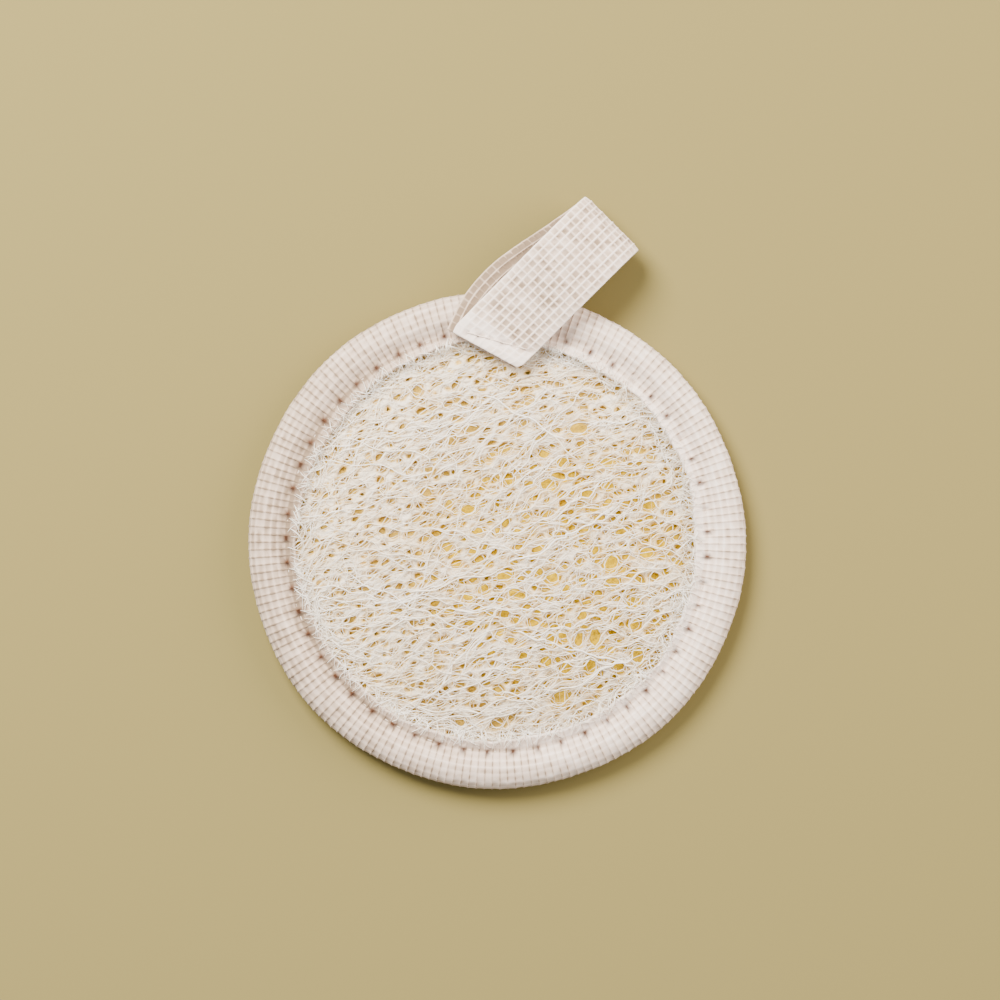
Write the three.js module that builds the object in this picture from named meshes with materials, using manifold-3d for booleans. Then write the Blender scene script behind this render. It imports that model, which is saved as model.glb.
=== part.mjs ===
// A round bath pad: a sheet of dried loofah gourd over a yellow foam core and a cotton backing,
// bound round the rim with a folded cotton tape, with a hanging loop of cotton tape sewn to it.
// Millimetres, +Z up. The origin is the middle of the back, which lies on the surface.
// +Y is the way the hanging loop points.

import * as THREE from "three";
import { mergeVertices } from "three/addons/utils/BufferGeometryUtils.js";
import Module from "manifold-3d";

// Driving dimensions of the pad
const PAD_RADIUS = 50;
const RIM_HEIGHT = 7.2;
const CREST_RADIUS = 45.6;
const SEAM_RADIUS = 42.4;
const SEAM_DEPTH = 1;
const TAPE_EDGE_RADIUS = 40;
const TAPE_EDGE_DROP = { front: 0.4, back: 0.1 };
const TAPE_THICKNESS = 0.8;
const LAYER_RADIUS = 47;
const CORE_RADIUS = 46.2;
const CLEARANCE = 0.3;

// The pad is thickest in the middle, and the seam pinches it. A layer's height is given at both.
const PINCH_RADIUS = 39;
const PINCH_POWER = 3.2;
const CLOTH_TOP = { seam: 2.7, middle: 1.7 };
const CORE_BOTTOM = { seam: 3.0, middle: 2.0 };
const CORE_TOP = { seam: 3.7, middle: 6.8 };
const NET_BOTTOM = { seam: 4.1, middle: 7.2 };
const NET_TOP = { seam: 4.95, middle: 9.6 };

// The backing's underside: flat in the middle, then up over the tape's edge and into the fold
const CLOTH_UNDERSIDE = [
  [0, 0],
  [37.4, 0],
  [38.7, 0.5],
  [39.6, 1.3],
  [SEAM_RADIUS, 2.1],
  [LAYER_RADIUS, 2.1],
  [LAYER_RADIUS, CLOTH_TOP.seam],
];

// The loofah's holes, long in the direction that its fibres run
const FIBRE_ANGLE = THREE.MathUtils.degToRad(65);
const HOLE_LENGTH = 6.2;
const HOLE_WIDTH = 4.3;
const HOLE_JITTER = 0.42;
const SMALLEST_HOLE = 0.3;
const OUTER_HOLE_RADIUS = 37.5;
const RIB_HALF_WIDTH = 0.85;
const RIB_RISE = 0.55;
const SHORTEST_RIB = 0.7;
const MARGIN_CELLS = 52;
const MARGIN_RADIUS = 44.6;
const NET_SEED = 11;
const FINEST_GRID = 0.01;

// The long fibres that lie over the holes
const LONG_FIBRES = 7;
const FIBRE_RADIUS = 0.62;
const FIBRE_SINK = { seam: 0.62, middle: 0.06 };
const FIBRE_REACH = 41.2;
const FIBRE_STEP = 5;
const FIBRE_TURN = 0.5;
const FIBRE_WANDER = 1.6;
const FIBRE_WAVE = 9;

// The hanging loop: the middle of its tape, from the lower end round the fold to the upper end
const LOOP_WIDTH = 15;
const LOOP_THICKNESS = 0.9;
const LOOP_STEPS = 44;
const LOOP_END_SLANT = 0.27;
const LOOP_END_SHARE = 1 / 6;
const LOOP_ROUTE = [
  [-29.4, 25.0, 8.6],
  [-31.8, 31.5, 8.15],
  [-32.2, 38.5, 8.0],
  [-31.4, 44.5, 7.0],
  [-30.5, 49.5, 4.0],
  [-29.7, 54.5, 2.0],
  [-29.0, 59.0, 2.3],
  [-28.7, 60.9, 5.6],
  [-28.7, 58.6, 9.6],
  [-28.7, 53.0, 11.6],
  [-28.7, 46.0, 12.0],
  [-28.7, 39.0, 10.5],
  [-28.7, 32.0, 9.6],
  [-28.7, 25.3, 9.9],
];

// The sewing
const STITCH_COUNT = 53;
const THREAD_RADIUS = 0.3;
const THREAD_SWAY = 0.1;
const NEEDLE_THREAD_HEIGHT = 6.75;
const BOBBIN_THREAD_HEIGHT = 0.42;
const LOOP_STITCHES = 5;
const LOOP_STITCH_ROW = [
  [-33.6, 25.2],
  [-22.8, 31.2],
];

// How finely the round pieces are divided
const TAPE_STEPS = 48;
const TAPE_PROFILE_STEPS = 16;
const LAYER_STEPS = 40;
const THREAD_SIDES = 3;
const LOOP_SAMPLES = 200;

const wasm = await Module();
wasm.setup();

// Random numbers from 0 to 1 that are the same each run
function randomFrom(seed) {
  let state = seed;
  return () => {
    state = (Math.imul(state, 1664525) + 1013904223) >>> 0;
    return state / 2 ** 32;
  };
}

function solidOf(geometry) {
  const bare = geometry.clone();
  bare.deleteAttribute("normal");
  bare.deleteAttribute("uv");
  const merged = mergeVertices(bare, 1e-4);
  return new wasm.Manifold(
    new wasm.Mesh({
      numProp: 3,
      vertProperties: merged.attributes.position.array,
      triVerts: new Uint32Array(merged.index.array),
    }),
  );
}

function geometryOf(solid) {
  const mesh = solid.getMesh();
  return faceGeometry(Array.from(mesh.vertProperties), Array.from(mesh.triVerts));
}

function faceGeometry(positions, triangles) {
  const geometry = new THREE.BufferGeometry();
  geometry.setAttribute("position", new THREE.Float32BufferAttribute(positions, 3));
  geometry.setIndex(triangles);
  geometry.computeVertexNormals();
  return geometry;
}

// The same surface on a fine grid of places: corners that fall together become one, and the faces
// that collapse between them go
function withoutSlivers(geometry) {
  const places = geometry.attributes.position.array;
  const onGrid = Array.from(places, (value) => Math.round(value / FINEST_GRID) * FINEST_GRID);
  const corners = new Map();
  const positions = [];
  const cornerOf = Array.from({ length: onGrid.length / 3 }, (_, i) => {
    const place = onGrid.slice(3 * i, 3 * i + 3);
    const key = place.map((value) => value.toFixed(4)).join();
    if (!corners.has(key)) corners.set(key, positions.push(...place) / 3 - 1);
    return corners.get(key);
  });
  const triangles = [];
  const index = geometry.index.array;
  for (let i = 0; i < index.length; i += 3) {
    const [a, b, c] = [0, 1, 2].map((k) => cornerOf[index[i + k]]);
    if (a !== b && b !== c && c !== a) triangles.push(a, b, c);
  }
  return faceGeometry(positions, triangles);
}

// A tube through rings of points: each ring has the same number, anticlockwise seen from the far end
function tubeGeometry(rings, closed) {
  const sides = rings[0].length;
  const positions = rings.flat().flatMap((p) => p.toArray());
  const triangles = [];
  const spans = closed ? rings.length : rings.length - 1;
  for (let i = 0; i < spans; i++) {
    const here = i * sides;
    const next = ((i + 1) % rings.length) * sides;
    for (let k = 0; k < sides; k++) {
      const l = (k + 1) % sides;
      triangles.push(here + k, here + l, next + l, here + k, next + l, next + k);
    }
  }
  if (!closed) {
    const last = (rings.length - 1) * sides;
    for (let k = 1; k < sides - 1; k++) {
      triangles.push(0, k + 1, k, last, last + k, last + k + 1);
    }
  }
  return faceGeometry(positions, triangles);
}

// A thread or fibre through points, with its section standing upright
function strandGeometry(points, radius, sides, closed = false) {
  const count = points.length;
  const rings = points.map((point, i) => {
    const before = points[closed ? (i + count - 1) % count : Math.max(i - 1, 0)];
    const after = points[closed ? (i + 1) % count : Math.min(i + 1, count - 1)];
    const along = after.clone().sub(before).normalize();
    const across = new THREE.Vector3(0, 0, 1).cross(along).normalize();
    const up = along.clone().cross(across);
    return Array.from({ length: sides }, (_, k) => {
      const angle = Math.PI / 2 + (2 * Math.PI * k) / sides;
      return point
        .clone()
        .addScaledVector(across, radius * Math.cos(angle))
        .addScaledVector(up, radius * Math.sin(angle));
    });
  });
  return tubeGeometry(rings, closed);
}

// The pad's form: 1 in the middle and 0 from the pinch outwards
function fullness(radius) {
  return 1 - Math.min(1, radius / PINCH_RADIUS) ** PINCH_POWER;
}

function heightOf(level, radius) {
  return level.seam + (level.middle - level.seam) * fullness(radius);
}

function layerCurve(level, fromRadius, toRadius, count) {
  return Array.from({ length: count }, (_, i) => {
    const radius = THREE.MathUtils.lerp(fromRadius, toRadius, i / (count - 1));
    return new THREE.Vector2(radius, heightOf(level, radius));
  });
}

// A profile of radius and height, turned about +Z
function turned(profile, steps) {
  return new THREE.LatheGeometry(profile, steps).rotateX(Math.PI / 2);
}

// The cotton tape, folded over the rim in half an ellipse: one profile, turned round the pad
function bindingTape() {
  const half = TAPE_THICKNESS / 2;
  const fold = [-2, -1, 0, 1, 2].map((quarter) => {
    const angle = (quarter * Math.PI) / 4;
    return [
      CREST_RADIUS + (PAD_RADIUS - half - CREST_RADIUS) * Math.cos(angle),
      RIM_HEIGHT / 2 + (RIM_HEIGHT / 2 - half) * Math.sin(angle),
    ];
  });
  const middle = new THREE.CatmullRomCurve3(
    [
      [TAPE_EDGE_RADIUS, half + TAPE_EDGE_DROP.back],
      [SEAM_RADIUS, half + SEAM_DEPTH],
      ...fold,
      [SEAM_RADIUS, RIM_HEIGHT - half - SEAM_DEPTH],
      [TAPE_EDGE_RADIUS, RIM_HEIGHT - half - TAPE_EDGE_DROP.front],
    ].map(([r, z]) => new THREE.Vector3(r, z, 0)),
    false,
    "centripetal",
  );
  const side = (sign) =>
    Array.from({ length: TAPE_PROFILE_STEPS + 1 }, (_, i) => {
      const point = middle.getPoint(i / TAPE_PROFILE_STEPS);
      const along = middle.getTangent(i / TAPE_PROFILE_STEPS);
      return new THREE.Vector2(point.x + sign * half * along.y, point.y - sign * half * along.x);
    });
  const profile = [...side(1), ...side(-1).reverse()];
  return turned([...profile, profile[0].clone()], TAPE_STEPS);
}

// The foam: two skins that come together at the rim
function spongeCore() {
  const bottom = layerCurve(CORE_BOTTOM, 0, PINCH_RADIUS, 5);
  const edge = [CORE_BOTTOM, CORE_TOP].map((level) => new THREE.Vector2(CORE_RADIUS, level.seam));
  const top = layerCurve(CORE_TOP, PINCH_RADIUS, 0, 9);
  return turned([...bottom, ...edge, ...top], LAYER_STEPS);
}

function backingCloth() {
  const underside = CLOTH_UNDERSIDE.map(([r, z]) => new THREE.Vector2(r, z));
  return turned([...underside, ...layerCurve(CLOTH_TOP, PINCH_RADIUS, 0, 5)], LAYER_STEPS);
}

// The part of a polygon on the near side of a line through a point
function clip(polygon, point, away) {
  const kept = [];
  polygon.forEach((a, i) => {
    const b = polygon[(i + 1) % polygon.length];
    const fromA = a.clone().sub(point).dot(away);
    const fromB = b.clone().sub(point).dot(away);
    if (fromA <= 0) kept.push(a);
    if (fromA * fromB < 0) kept.push(a.clone().lerp(b, fromA / (fromA - fromB)));
  });
  return kept;
}

// The holes are worked out in a plane where the direction of the fibres is shortened
const SHORTENING = HOLE_WIDTH / HOLE_LENGTH;

function toFibrePlane(x, y) {
  const along = x * Math.cos(FIBRE_ANGLE) + y * Math.sin(FIBRE_ANGLE);
  const across = y * Math.cos(FIBRE_ANGLE) - x * Math.sin(FIBRE_ANGLE);
  return new THREE.Vector2(along * SHORTENING, across);
}

function fromFibrePlane(point) {
  const along = point.x / SHORTENING;
  return new THREE.Vector2(
    along * Math.cos(FIBRE_ANGLE) - point.y * Math.sin(FIBRE_ANGLE),
    along * Math.sin(FIBRE_ANGLE) + point.y * Math.cos(FIBRE_ANGLE),
  );
}

function onCircle(radius, index, count) {
  const angle = (2 * Math.PI * index) / count;
  return toFibrePlane(radius * Math.cos(angle), radius * Math.sin(angle));
}

// The sites of the holes, on staggered rows, each moved a little at random, and round them the
// sites of the closed cells that make the margin under the tape
function cellSites(random) {
  const sites = [];
  const rowHeight = HOLE_WIDTH * Math.sqrt(0.75);
  const reach = Math.ceil(LAYER_RADIUS / rowHeight);
  for (let row = -reach; row <= reach; row++) {
    for (let column = -reach; column <= reach; column++) {
      const place = new THREE.Vector2(
        (column + (row % 2 ? 0.5 : 0) + (random() - 0.5) * 2 * HOLE_JITTER) * HOLE_WIDTH,
        (row + (random() - 0.5) * 2 * HOLE_JITTER) * rowHeight,
      );
      if (fromFibrePlane(place).length() < OUTER_HOLE_RADIUS) sites.push({ place, open: true });
    }
  }
  for (let i = 0; i < MARGIN_CELLS; i++) {
    sites.push({ place: onCircle(MARGIN_RADIUS, i, MARGIN_CELLS), open: false });
  }
  return sites;
}

// The loofah's net of ribs. Each hole is a cell of the sites' Voronoi diagram, drawn in from its
// ribs, and each rib has a diamond section: a crest above, a keel below, and a hole's rim each side.
function loofahRibs(random) {
  const positions = [];
  const triangles = [];
  const addPoint = (x, y, z) => positions.push(x, y, z) / 3 - 1;

  const joints = [];
  function jointAt(place) {
    const near = joints.find((j) => j.place.distanceTo(place) < SHORTEST_RIB);
    if (near) return near;
    const radius = place.length();
    const rise = (random() - 0.5) * 2 * RIB_RISE * Math.min(1, 2 * fullness(radius));
    const joint = {
      index: joints.length,
      place,
      crest: addPoint(place.x, place.y, heightOf(NET_TOP, radius) + rise),
      keel: addPoint(place.x, place.y, heightOf(NET_BOTTOM, radius)),
    };
    joints.push(joint);
    return joint;
  }

  // The points round a hole, halfway up its ribs
  function holeRim(ring, centre) {
    return ring.map((joint) => {
      const reach = joint.place.distanceTo(centre);
      const share = Math.max(SMALLEST_HOLE, 1 - RIB_HALF_WIDTH / reach);
      const rim = centre.clone().lerp(joint.place, share);
      const radius = rim.length();
      const middle = (heightOf(NET_TOP, radius) + heightOf(NET_BOTTOM, radius)) / 2;
      const rise = (random() - 0.5) * RIB_RISE * fullness(radius);
      const index = addPoint(rim.x, rim.y, middle + rise);
      return { top: index, bottom: index };
    });
  }

  // One point above and one below, where a cell is closed
  function closedCentre(ring, centre) {
    const radius = centre.length();
    const top = addPoint(centre.x, centre.y, heightOf(NET_TOP, radius));
    const bottom = addPoint(centre.x, centre.y, heightOf(NET_BOTTOM, radius));
    return ring.map(() => ({ top, bottom }));
  }

  const border = Array.from({ length: LAYER_STEPS }, (_, i) => onCircle(LAYER_RADIUS, i, LAYER_STEPS));
  const sites = cellSites(random);
  const edgeUses = new Map();

  for (const { place, open } of sites) {
    let cell = border;
    for (const { place: other } of sites) {
      if (other === place || other.distanceTo(place) > 4 * HOLE_WIDTH) continue;
      cell = clip(cell, place.clone().add(other).multiplyScalar(0.5), other.clone().sub(place));
    }
    const ring = cell
      .map((corner) => jointAt(fromFibrePlane(corner)))
      .filter((joint, i, all) => joint !== all[(i + 1) % all.length]);
    if (ring.length < 3) continue;
    const centre = ring
      .reduce((sum, joint) => sum.add(joint.place), new THREE.Vector2())
      .divideScalar(ring.length);
    const rims = open ? holeRim(ring, centre) : closedCentre(ring, centre);

    ring.forEach((joint, i) => {
      const j = (i + 1) % ring.length;
      const [next, rim, nextRim] = [ring[j], rims[i], rims[j]];
      triangles.push(joint.crest, next.crest, nextRim.top);
      triangles.push(joint.keel, nextRim.bottom, next.keel);
      if (open) {
        triangles.push(joint.crest, nextRim.top, rim.top);
        triangles.push(joint.keel, rim.bottom, nextRim.bottom);
      }
      const key = [joint.index, next.index].sort((a, b) => a - b).join();
      edgeUses.set(key, edgeUses.has(key) ? null : [joint, next]);
    });
  }

  // The net's outer edge, where a rib has a cell on one side only
  for (const [joint, next] of [...edgeUses.values()].filter(Boolean)) {
    triangles.push(joint.crest, joint.keel, next.keel, joint.crest, next.keel, next.crest);
  }
  return faceGeometry(positions, triangles);
}

// The long fibres: each wanders a little across the net and is sunk into the crests of its ribs
function longFibres(random) {
  return Array.from({ length: LONG_FIBRES }, (_, i) => {
    const offset = ((2 * i + 1) / LONG_FIBRES - 1) * (FIBRE_REACH - 2 * FIBRE_WANDER);
    const halfLength = Math.sqrt(FIBRE_REACH ** 2 - offset ** 2);
    const turn = FIBRE_ANGLE + (random() - 0.5) * FIBRE_TURN;
    const steps = Math.max(4, Math.round((2 * halfLength) / FIBRE_STEP));
    const phase = random() * 2 * Math.PI;
    const points = Array.from({ length: steps + 1 }, (_, k) => {
      const along = (2 * (k / steps) - 1) * halfLength;
      const across = offset + FIBRE_WANDER * Math.sin(phase + along / FIBRE_WAVE);
      const place = new THREE.Vector2(
        along * Math.cos(turn) - across * Math.sin(turn),
        along * Math.sin(turn) + across * Math.cos(turn),
      ).clampLength(0, FIBRE_REACH);
      const radius = place.length();
      const height = heightOf(NET_TOP, radius) - heightOf(FIBRE_SINK, radius);
      return new THREE.Vector3(place.x, place.y, height);
    });
    return strandGeometry(points, FIBRE_RADIUS, 3);
  });
}

function loofahNet() {
  const random = randomFrom(NET_SEED);
  let net = solidOf(loofahRibs(random));
  for (const fibre of longFibres(random)) net = net.add(solidOf(fibre));
  // Where a fibre closes off a small hollow, the outer body alone is kept, which fills it
  const [body] = net.decompose().sort((a, b) => b.volume() - a.volume());
  return withoutSlivers(geometryOf(body));
}

const loopCurve = new THREE.CatmullRomCurve3(LOOP_ROUTE.map((p) => new THREE.Vector3(...p)));

// The hanging loop: one flat tape, level across its width, with its ends cut along the seam
function hangingLoop() {
  const rings = Array.from({ length: LOOP_STEPS + 1 }, (_, i) => {
    const share = i / LOOP_STEPS;
    const middle = loopCurve.getPointAt(share);
    const along = loopCurve.getTangentAt(share).setX(0).normalize();
    const normal = new THREE.Vector3(0, -along.z, along.y);
    const slant = LOOP_END_SLANT * Math.max(0, 1 - Math.min(share, 1 - share) / LOOP_END_SHARE);
    return [
      [-1, -1],
      [1, -1],
      [1, 1],
      [-1, 1],
    ].map(([side, face]) =>
      middle
        .clone()
        .addScaledVector(normal, (-face * LOOP_THICKNESS) / 2)
        .add(new THREE.Vector3(side, side * slant, 0).multiplyScalar(LOOP_WIDTH / 2)),
    );
  });
  return tubeGeometry(rings, false);
}

// A row of lockstitches seen from one side: the thread rises between holes and dips at each one
function seamThread(height, sway) {
  const points = Array.from({ length: 2 * STITCH_COUNT }, (_, i) => {
    const angle = (Math.PI * i) / STITCH_COUNT;
    return new THREE.Vector3(
      SEAM_RADIUS * Math.cos(angle),
      SEAM_RADIUS * Math.sin(angle),
      height + (i % 2 ? sway : -sway),
    );
  });
  return strandGeometry(points, THREAD_RADIUS, THREAD_SIDES, true);
}

// The height of the upper leg's outer face at a distance along +Y: the leg is the route's second half
function loopTopAt(y) {
  const upperLeg = loopCurve.getPoints(LOOP_SAMPLES).slice(0.55 * LOOP_SAMPLES);
  const near = upperLeg.reduce((a, b) => (Math.abs(b.y - y) < Math.abs(a.y - y) ? b : a));
  return near.z + LOOP_THICKNESS / 2;
}

// The stitches that hold both ends of the loop, in one straight row along its slanted end
function loopThread() {
  const [from, to] = LOOP_STITCH_ROW;
  const points = Array.from({ length: 2 * LOOP_STITCHES + 1 }, (_, i) => {
    const share = i / (2 * LOOP_STITCHES);
    const x = THREE.MathUtils.lerp(from[0], to[0], share);
    const y = THREE.MathUtils.lerp(from[1], to[1], share);
    const rise = CLEARANCE + THREAD_RADIUS + (i % 2 ? 2 * THREAD_SWAY : 0);
    return new THREE.Vector3(x, y, loopTopAt(y) + rise);
  });
  return strandGeometry(points, THREAD_RADIUS, THREAD_SIDES);
}

const cotton = { roughness: 0.9, metalness: 0 };
const pieces = [
  ["loofah_net", loofahNet(), { color: 0xece4d8, roughness: 0.7, metalness: 0 }],
  ["sponge_core", spongeCore(), { color: 0xe2b21c, roughness: 0.95, metalness: 0 }],
  ["backing_cloth", backingCloth(), { color: 0xeee3d5, ...cotton }],
  ["binding_tape", bindingTape(), { color: 0xe9dcd2, ...cotton }],
  ["hanging_loop", hangingLoop(), { color: 0xebdfd3, ...cotton }],
  ["needle_thread", seamThread(NEEDLE_THREAD_HEIGHT, THREAD_SWAY), { color: 0xf3ebe3, ...cotton }],
  ["bobbin_thread", seamThread(BOBBIN_THREAD_HEIGHT, -THREAD_SWAY), { color: 0xf3ebe3, ...cotton }],
  ["loop_thread", loopThread(), { color: 0xf3ebe3, ...cotton }],
];

const pad = new THREE.Group();
for (const [name, geometry, finish] of pieces) {
  const mesh = new THREE.Mesh(geometry, new THREE.MeshStandardMaterial(finish));
  mesh.name = name;
  pad.add(mesh);
}

export default pad;
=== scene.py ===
# %% [markdown]
# # A round loofah bath pad
# A disc of dried loofah, bound with cotton tape, with a loop to hang it by. This file builds its
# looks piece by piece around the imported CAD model: the camera and light, the web of fibres, the
# yellow foam under it, the terry back, the tapes and the sewing.
# The CAD model gives every size and place, so it's loaded first.

# %% Load the frame
import math

import bpy
import numpy as np
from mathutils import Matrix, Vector
from mathutils.geometry import delaunay_2d_cdt


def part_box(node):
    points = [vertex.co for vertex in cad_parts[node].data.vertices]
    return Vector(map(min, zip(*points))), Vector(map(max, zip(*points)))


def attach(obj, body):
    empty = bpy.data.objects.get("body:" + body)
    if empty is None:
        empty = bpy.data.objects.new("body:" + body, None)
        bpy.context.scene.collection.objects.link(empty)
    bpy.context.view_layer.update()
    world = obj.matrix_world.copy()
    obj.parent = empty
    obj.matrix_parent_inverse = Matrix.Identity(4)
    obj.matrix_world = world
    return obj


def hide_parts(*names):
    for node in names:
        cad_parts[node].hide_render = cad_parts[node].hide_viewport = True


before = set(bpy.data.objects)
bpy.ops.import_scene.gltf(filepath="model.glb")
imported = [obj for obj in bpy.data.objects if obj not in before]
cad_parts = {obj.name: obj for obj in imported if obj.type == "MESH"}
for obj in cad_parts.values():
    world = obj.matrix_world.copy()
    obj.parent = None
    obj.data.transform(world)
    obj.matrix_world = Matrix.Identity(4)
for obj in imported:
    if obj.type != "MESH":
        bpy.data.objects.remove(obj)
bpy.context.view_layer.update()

MM = 0.001
_, pad_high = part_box("binding_tape")
PAD_RADIUS = pad_high.x / MM
RIM_HEIGHT = pad_high.z / MM
print(f"pad {2 * PAD_RADIUS:.1f} mm across, rim {RIM_HEIGHT:.1f} mm high")

# %% [markdown]
# ## Camera
# The photograph looks straight down on the pad, whose loop points up and to the right. The frame
# has the loop along +Y, so the camera is turned an eighth of a turn about its own line of sight.
# One pixel of the photograph is 0.2 mm at the pad, and its middle isn't the pad's middle.
# A long lens keeps the rim round. from_photo gives the place on the pad under a pixel. DIAGONAL is
# the sine and the cosine of an eighth of a turn.

# %% Camera
PHOTO_SIZE = 1000
PIXEL = 0.2
PAD_CENTRE_PIXEL = (497, 541)
PHOTO_TURN = math.radians(45)
DIAGONAL = math.sqrt(0.5)
CAMERA_HEIGHT = 900
PAD_LEVEL = 6
SENSOR_WIDTH = 36


def from_photo(u, v):
    """The place on the pad, in mm, under pixel (u, v) of the photograph."""
    right = (u - PAD_CENTRE_PIXEL[0]) * PIXEL
    up = (PAD_CENTRE_PIXEL[1] - v) * PIXEL
    return np.array([right - up, right + up]) * DIAGONAL


camera_data = bpy.data.cameras.new("camera")
camera = bpy.data.objects.new("camera", camera_data)
bpy.context.scene.collection.objects.link(camera)
aim = from_photo(PHOTO_SIZE / 2, PHOTO_SIZE / 2)
camera.location = Vector((aim[0], aim[1], CAMERA_HEIGHT + PAD_LEVEL)) * MM
camera.rotation_euler = (0, 0, PHOTO_TURN)
camera_data.sensor_width = SENSOR_WIDTH
camera_data.lens = SENSOR_WIDTH * CAMERA_HEIGHT / (PHOTO_SIZE * PIXEL)
bpy.context.scene.camera = camera
print(f"camera {CAMERA_HEIGHT} mm above the pad, lens {camera_data.lens:.0f} mm")

# %% [markdown]
# ## Nodes
# Materials and Geometry Nodes trees are both made of nodes. One small function adds a node, sets
# its settings, and fills its sockets with values or with links from other nodes. A node that is
# given as a value stands for its first output, which keeps chains of maths short.
# Colours are written as the sRGB hex values that a colour picker shows, and turned to linear.

# %% Nodes and colours
MATHS = "ShaderNodeMath"


def add(tree, kind, inputs=None, **settings):
    """One node. inputs maps a socket's name or number to a value, a node or a node's output."""
    node = tree.nodes.new(kind)
    for key, value in settings.items():
        setattr(node, key, value)
    for key, value in (inputs or {}).items():
        if isinstance(value, bpy.types.Node):
            value = value.outputs[0]
        if isinstance(value, bpy.types.NodeSocket):
            tree.links.new(value, node.inputs[key])
        else:
            node.inputs[key].default_value = value
    return node


def srgb(text):
    """A hex colour as linear red, green, blue and alpha."""
    values = [int(text[i:i + 2], 16) / 255 for i in (1, 3, 5)]
    return [v / 12.92 if v <= 0.04045 else ((v + 0.055) / 1.055) ** 2.4 for v in values] + [1]


def new_material(name, roughness, specular=0.5, sheen=0.0):
    """A named material with a Principled shader: the tree, and the shader to link to."""
    material = bpy.data.materials.new(name)
    material.use_nodes = True
    shader = material.node_tree.nodes["Principled BSDF"]
    shader.inputs["Roughness"].default_value = roughness
    shader.inputs["Specular IOR Level"].default_value = specular
    shader.inputs["Sheen Weight"].default_value = sheen
    return material, material.node_tree, shader


def set_stops(ramp, stops):
    """Gives a colour ramp its blend: stops is a list of (place from 0 to 1, hex)."""
    elements = ramp.color_ramp.elements
    while len(elements) < len(stops):
        elements.new(0.5)
    for element, (place, text) in zip(elements, stops):
        element.position = place
        element.color = srgb(text)


print("middle grey, #808080, is", [round(value, 3) for value in srgb("#808080")[:3]], "in linear")

# %% [markdown]
# ## Floor and light
# A plain pale floor carries the pad. A soft key light stands high above the upper left of the
# photograph and throws a soft shadow to the lower right. A broad, lower fill light on the right
# brightens the slopes that face it, so the left of the binding is darker, as in the photograph, and
# painted shade on the binding adds to that. A pale sky keeps the fibres bright.

# %% Floor and light
FLOOR_SIZE = 3000
LIGHT_DISTANCE = 760
KEY_SIZE = 430
KEY_POWER = 20
FILL_SIZE = 700
FILL_POWER = 9
SKY_STRENGTH = 0.58

# Painted board has no gloss, so only the shadow and the fall of the light show on it.
floor_material, floor_tree, floor_shader = new_material("matt painted board", 0.9, specular=0.2)
floor_shader.inputs["Base Color"].default_value = srgb("#857948")
half_floor = FLOOR_SIZE / 2 * MM
floor_mesh = bpy.data.meshes.new("floor")
floor_mesh.from_pydata(
    [(x * half_floor, y * half_floor, 0) for x, y in ((-1, -1), (1, -1), (1, 1), (-1, 1))],
    [],
    [(0, 1, 2, 3)],
)
floor = bpy.data.objects.new("floor", floor_mesh)
floor.data.materials.append(floor_material)
bpy.context.scene.collection.objects.link(floor)


def area_light(name, direction, distance, size, power, colour):
    """A round soft light that shines at the pad from a direction."""
    data = bpy.data.lights.new(name, "AREA")
    data.shape = "DISK"
    data.size = size * MM
    data.energy = power
    data.color = srgb(colour)[:3]
    light = bpy.data.objects.new(name, data)
    towards = Vector(direction).normalized()
    light.location = towards * distance * MM
    light.rotation_euler = towards.to_track_quat("Z", "Y").to_euler()
    bpy.context.scene.collection.objects.link(light)


ONE_MM = 1 / PIXEL
PHOTO_LEFT = -from_photo(PAD_CENTRE_PIXEL[0] + ONE_MM, PAD_CENTRE_PIXEL[1])
PHOTO_UP = from_photo(PAD_CENTRE_PIXEL[0], PAD_CENTRE_PIXEL[1] - ONE_MM)
key_side = 0.5 * PHOTO_LEFT + 0.7 * PHOTO_UP
key_height = 1.0
fill_side = -0.9 * PHOTO_LEFT + 0.35 * PHOTO_UP
fill_height = 0.55
area_light("key_light", (*key_side, key_height), LIGHT_DISTANCE, KEY_SIZE, KEY_POWER, "#fffaf2")
area_light("fill_light", (*fill_side, fill_height), LIGHT_DISTANCE, FILL_SIZE, FILL_POWER, "#fff3e6")
world = bpy.data.worlds.new("studio")
world.use_nodes = True
sky = world.node_tree.nodes["Background"]
sky.inputs["Color"].default_value = srgb("#f4f4f8")
sky.inputs["Strength"].default_value = SKY_STRENGTH
bpy.context.scene.world = world
print("key light from", [round(float(x), 2) for x in key_side])

# %% [markdown]
# ## Meshes
# Points are worked out with numpy in millimetres and stored in metres, so that every piece is a
# mesh at the origin in the CAD model's own frame. A point can carry attributes, which a node tree
# or a material reads by name.

# %% Mesh helpers
def new_object(name, points, edges=(), faces=(), material=None):
    """A mesh object at the origin from points in mm, shaded smooth."""
    mesh = bpy.data.meshes.new(name)
    mesh.from_pydata((np.asarray(points) * MM).tolist(), list(edges), list(faces))
    mesh.polygons.foreach_set("use_smooth", [True] * len(mesh.polygons))
    mesh.update()
    if material:
        mesh.materials.append(material)
    made = bpy.data.objects.new(name, mesh)
    bpy.context.scene.collection.objects.link(made)
    return made


def set_attribute(made, name, values):
    """One number for each point of an object's mesh, for a material or a tree to read."""
    attribute = made.data.attributes.new(name, "FLOAT", "POINT")
    attribute.data.foreach_set("value", np.asarray(values, np.float32))


def smoothstep(low, high, x):
    """0 up to low, 1 from high on, and a smooth step between them."""
    share = np.clip((x - low) / (high - low), 0, 1)
    return share * share * (3 - 2 * share)


print("half way up a smooth step:", smoothstep(0, 2, 1))

# %% [markdown]
# ## Geometry Nodes
# Whatever repeats or follows a path is made by a tree of nodes, so that its sizes stay inputs with
# names. Each tree is built in this file. A modifier runs it, the result is taken as a plain mesh,
# and the modifier goes. Every tree ends the same way: instances made real, then the material.

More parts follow.
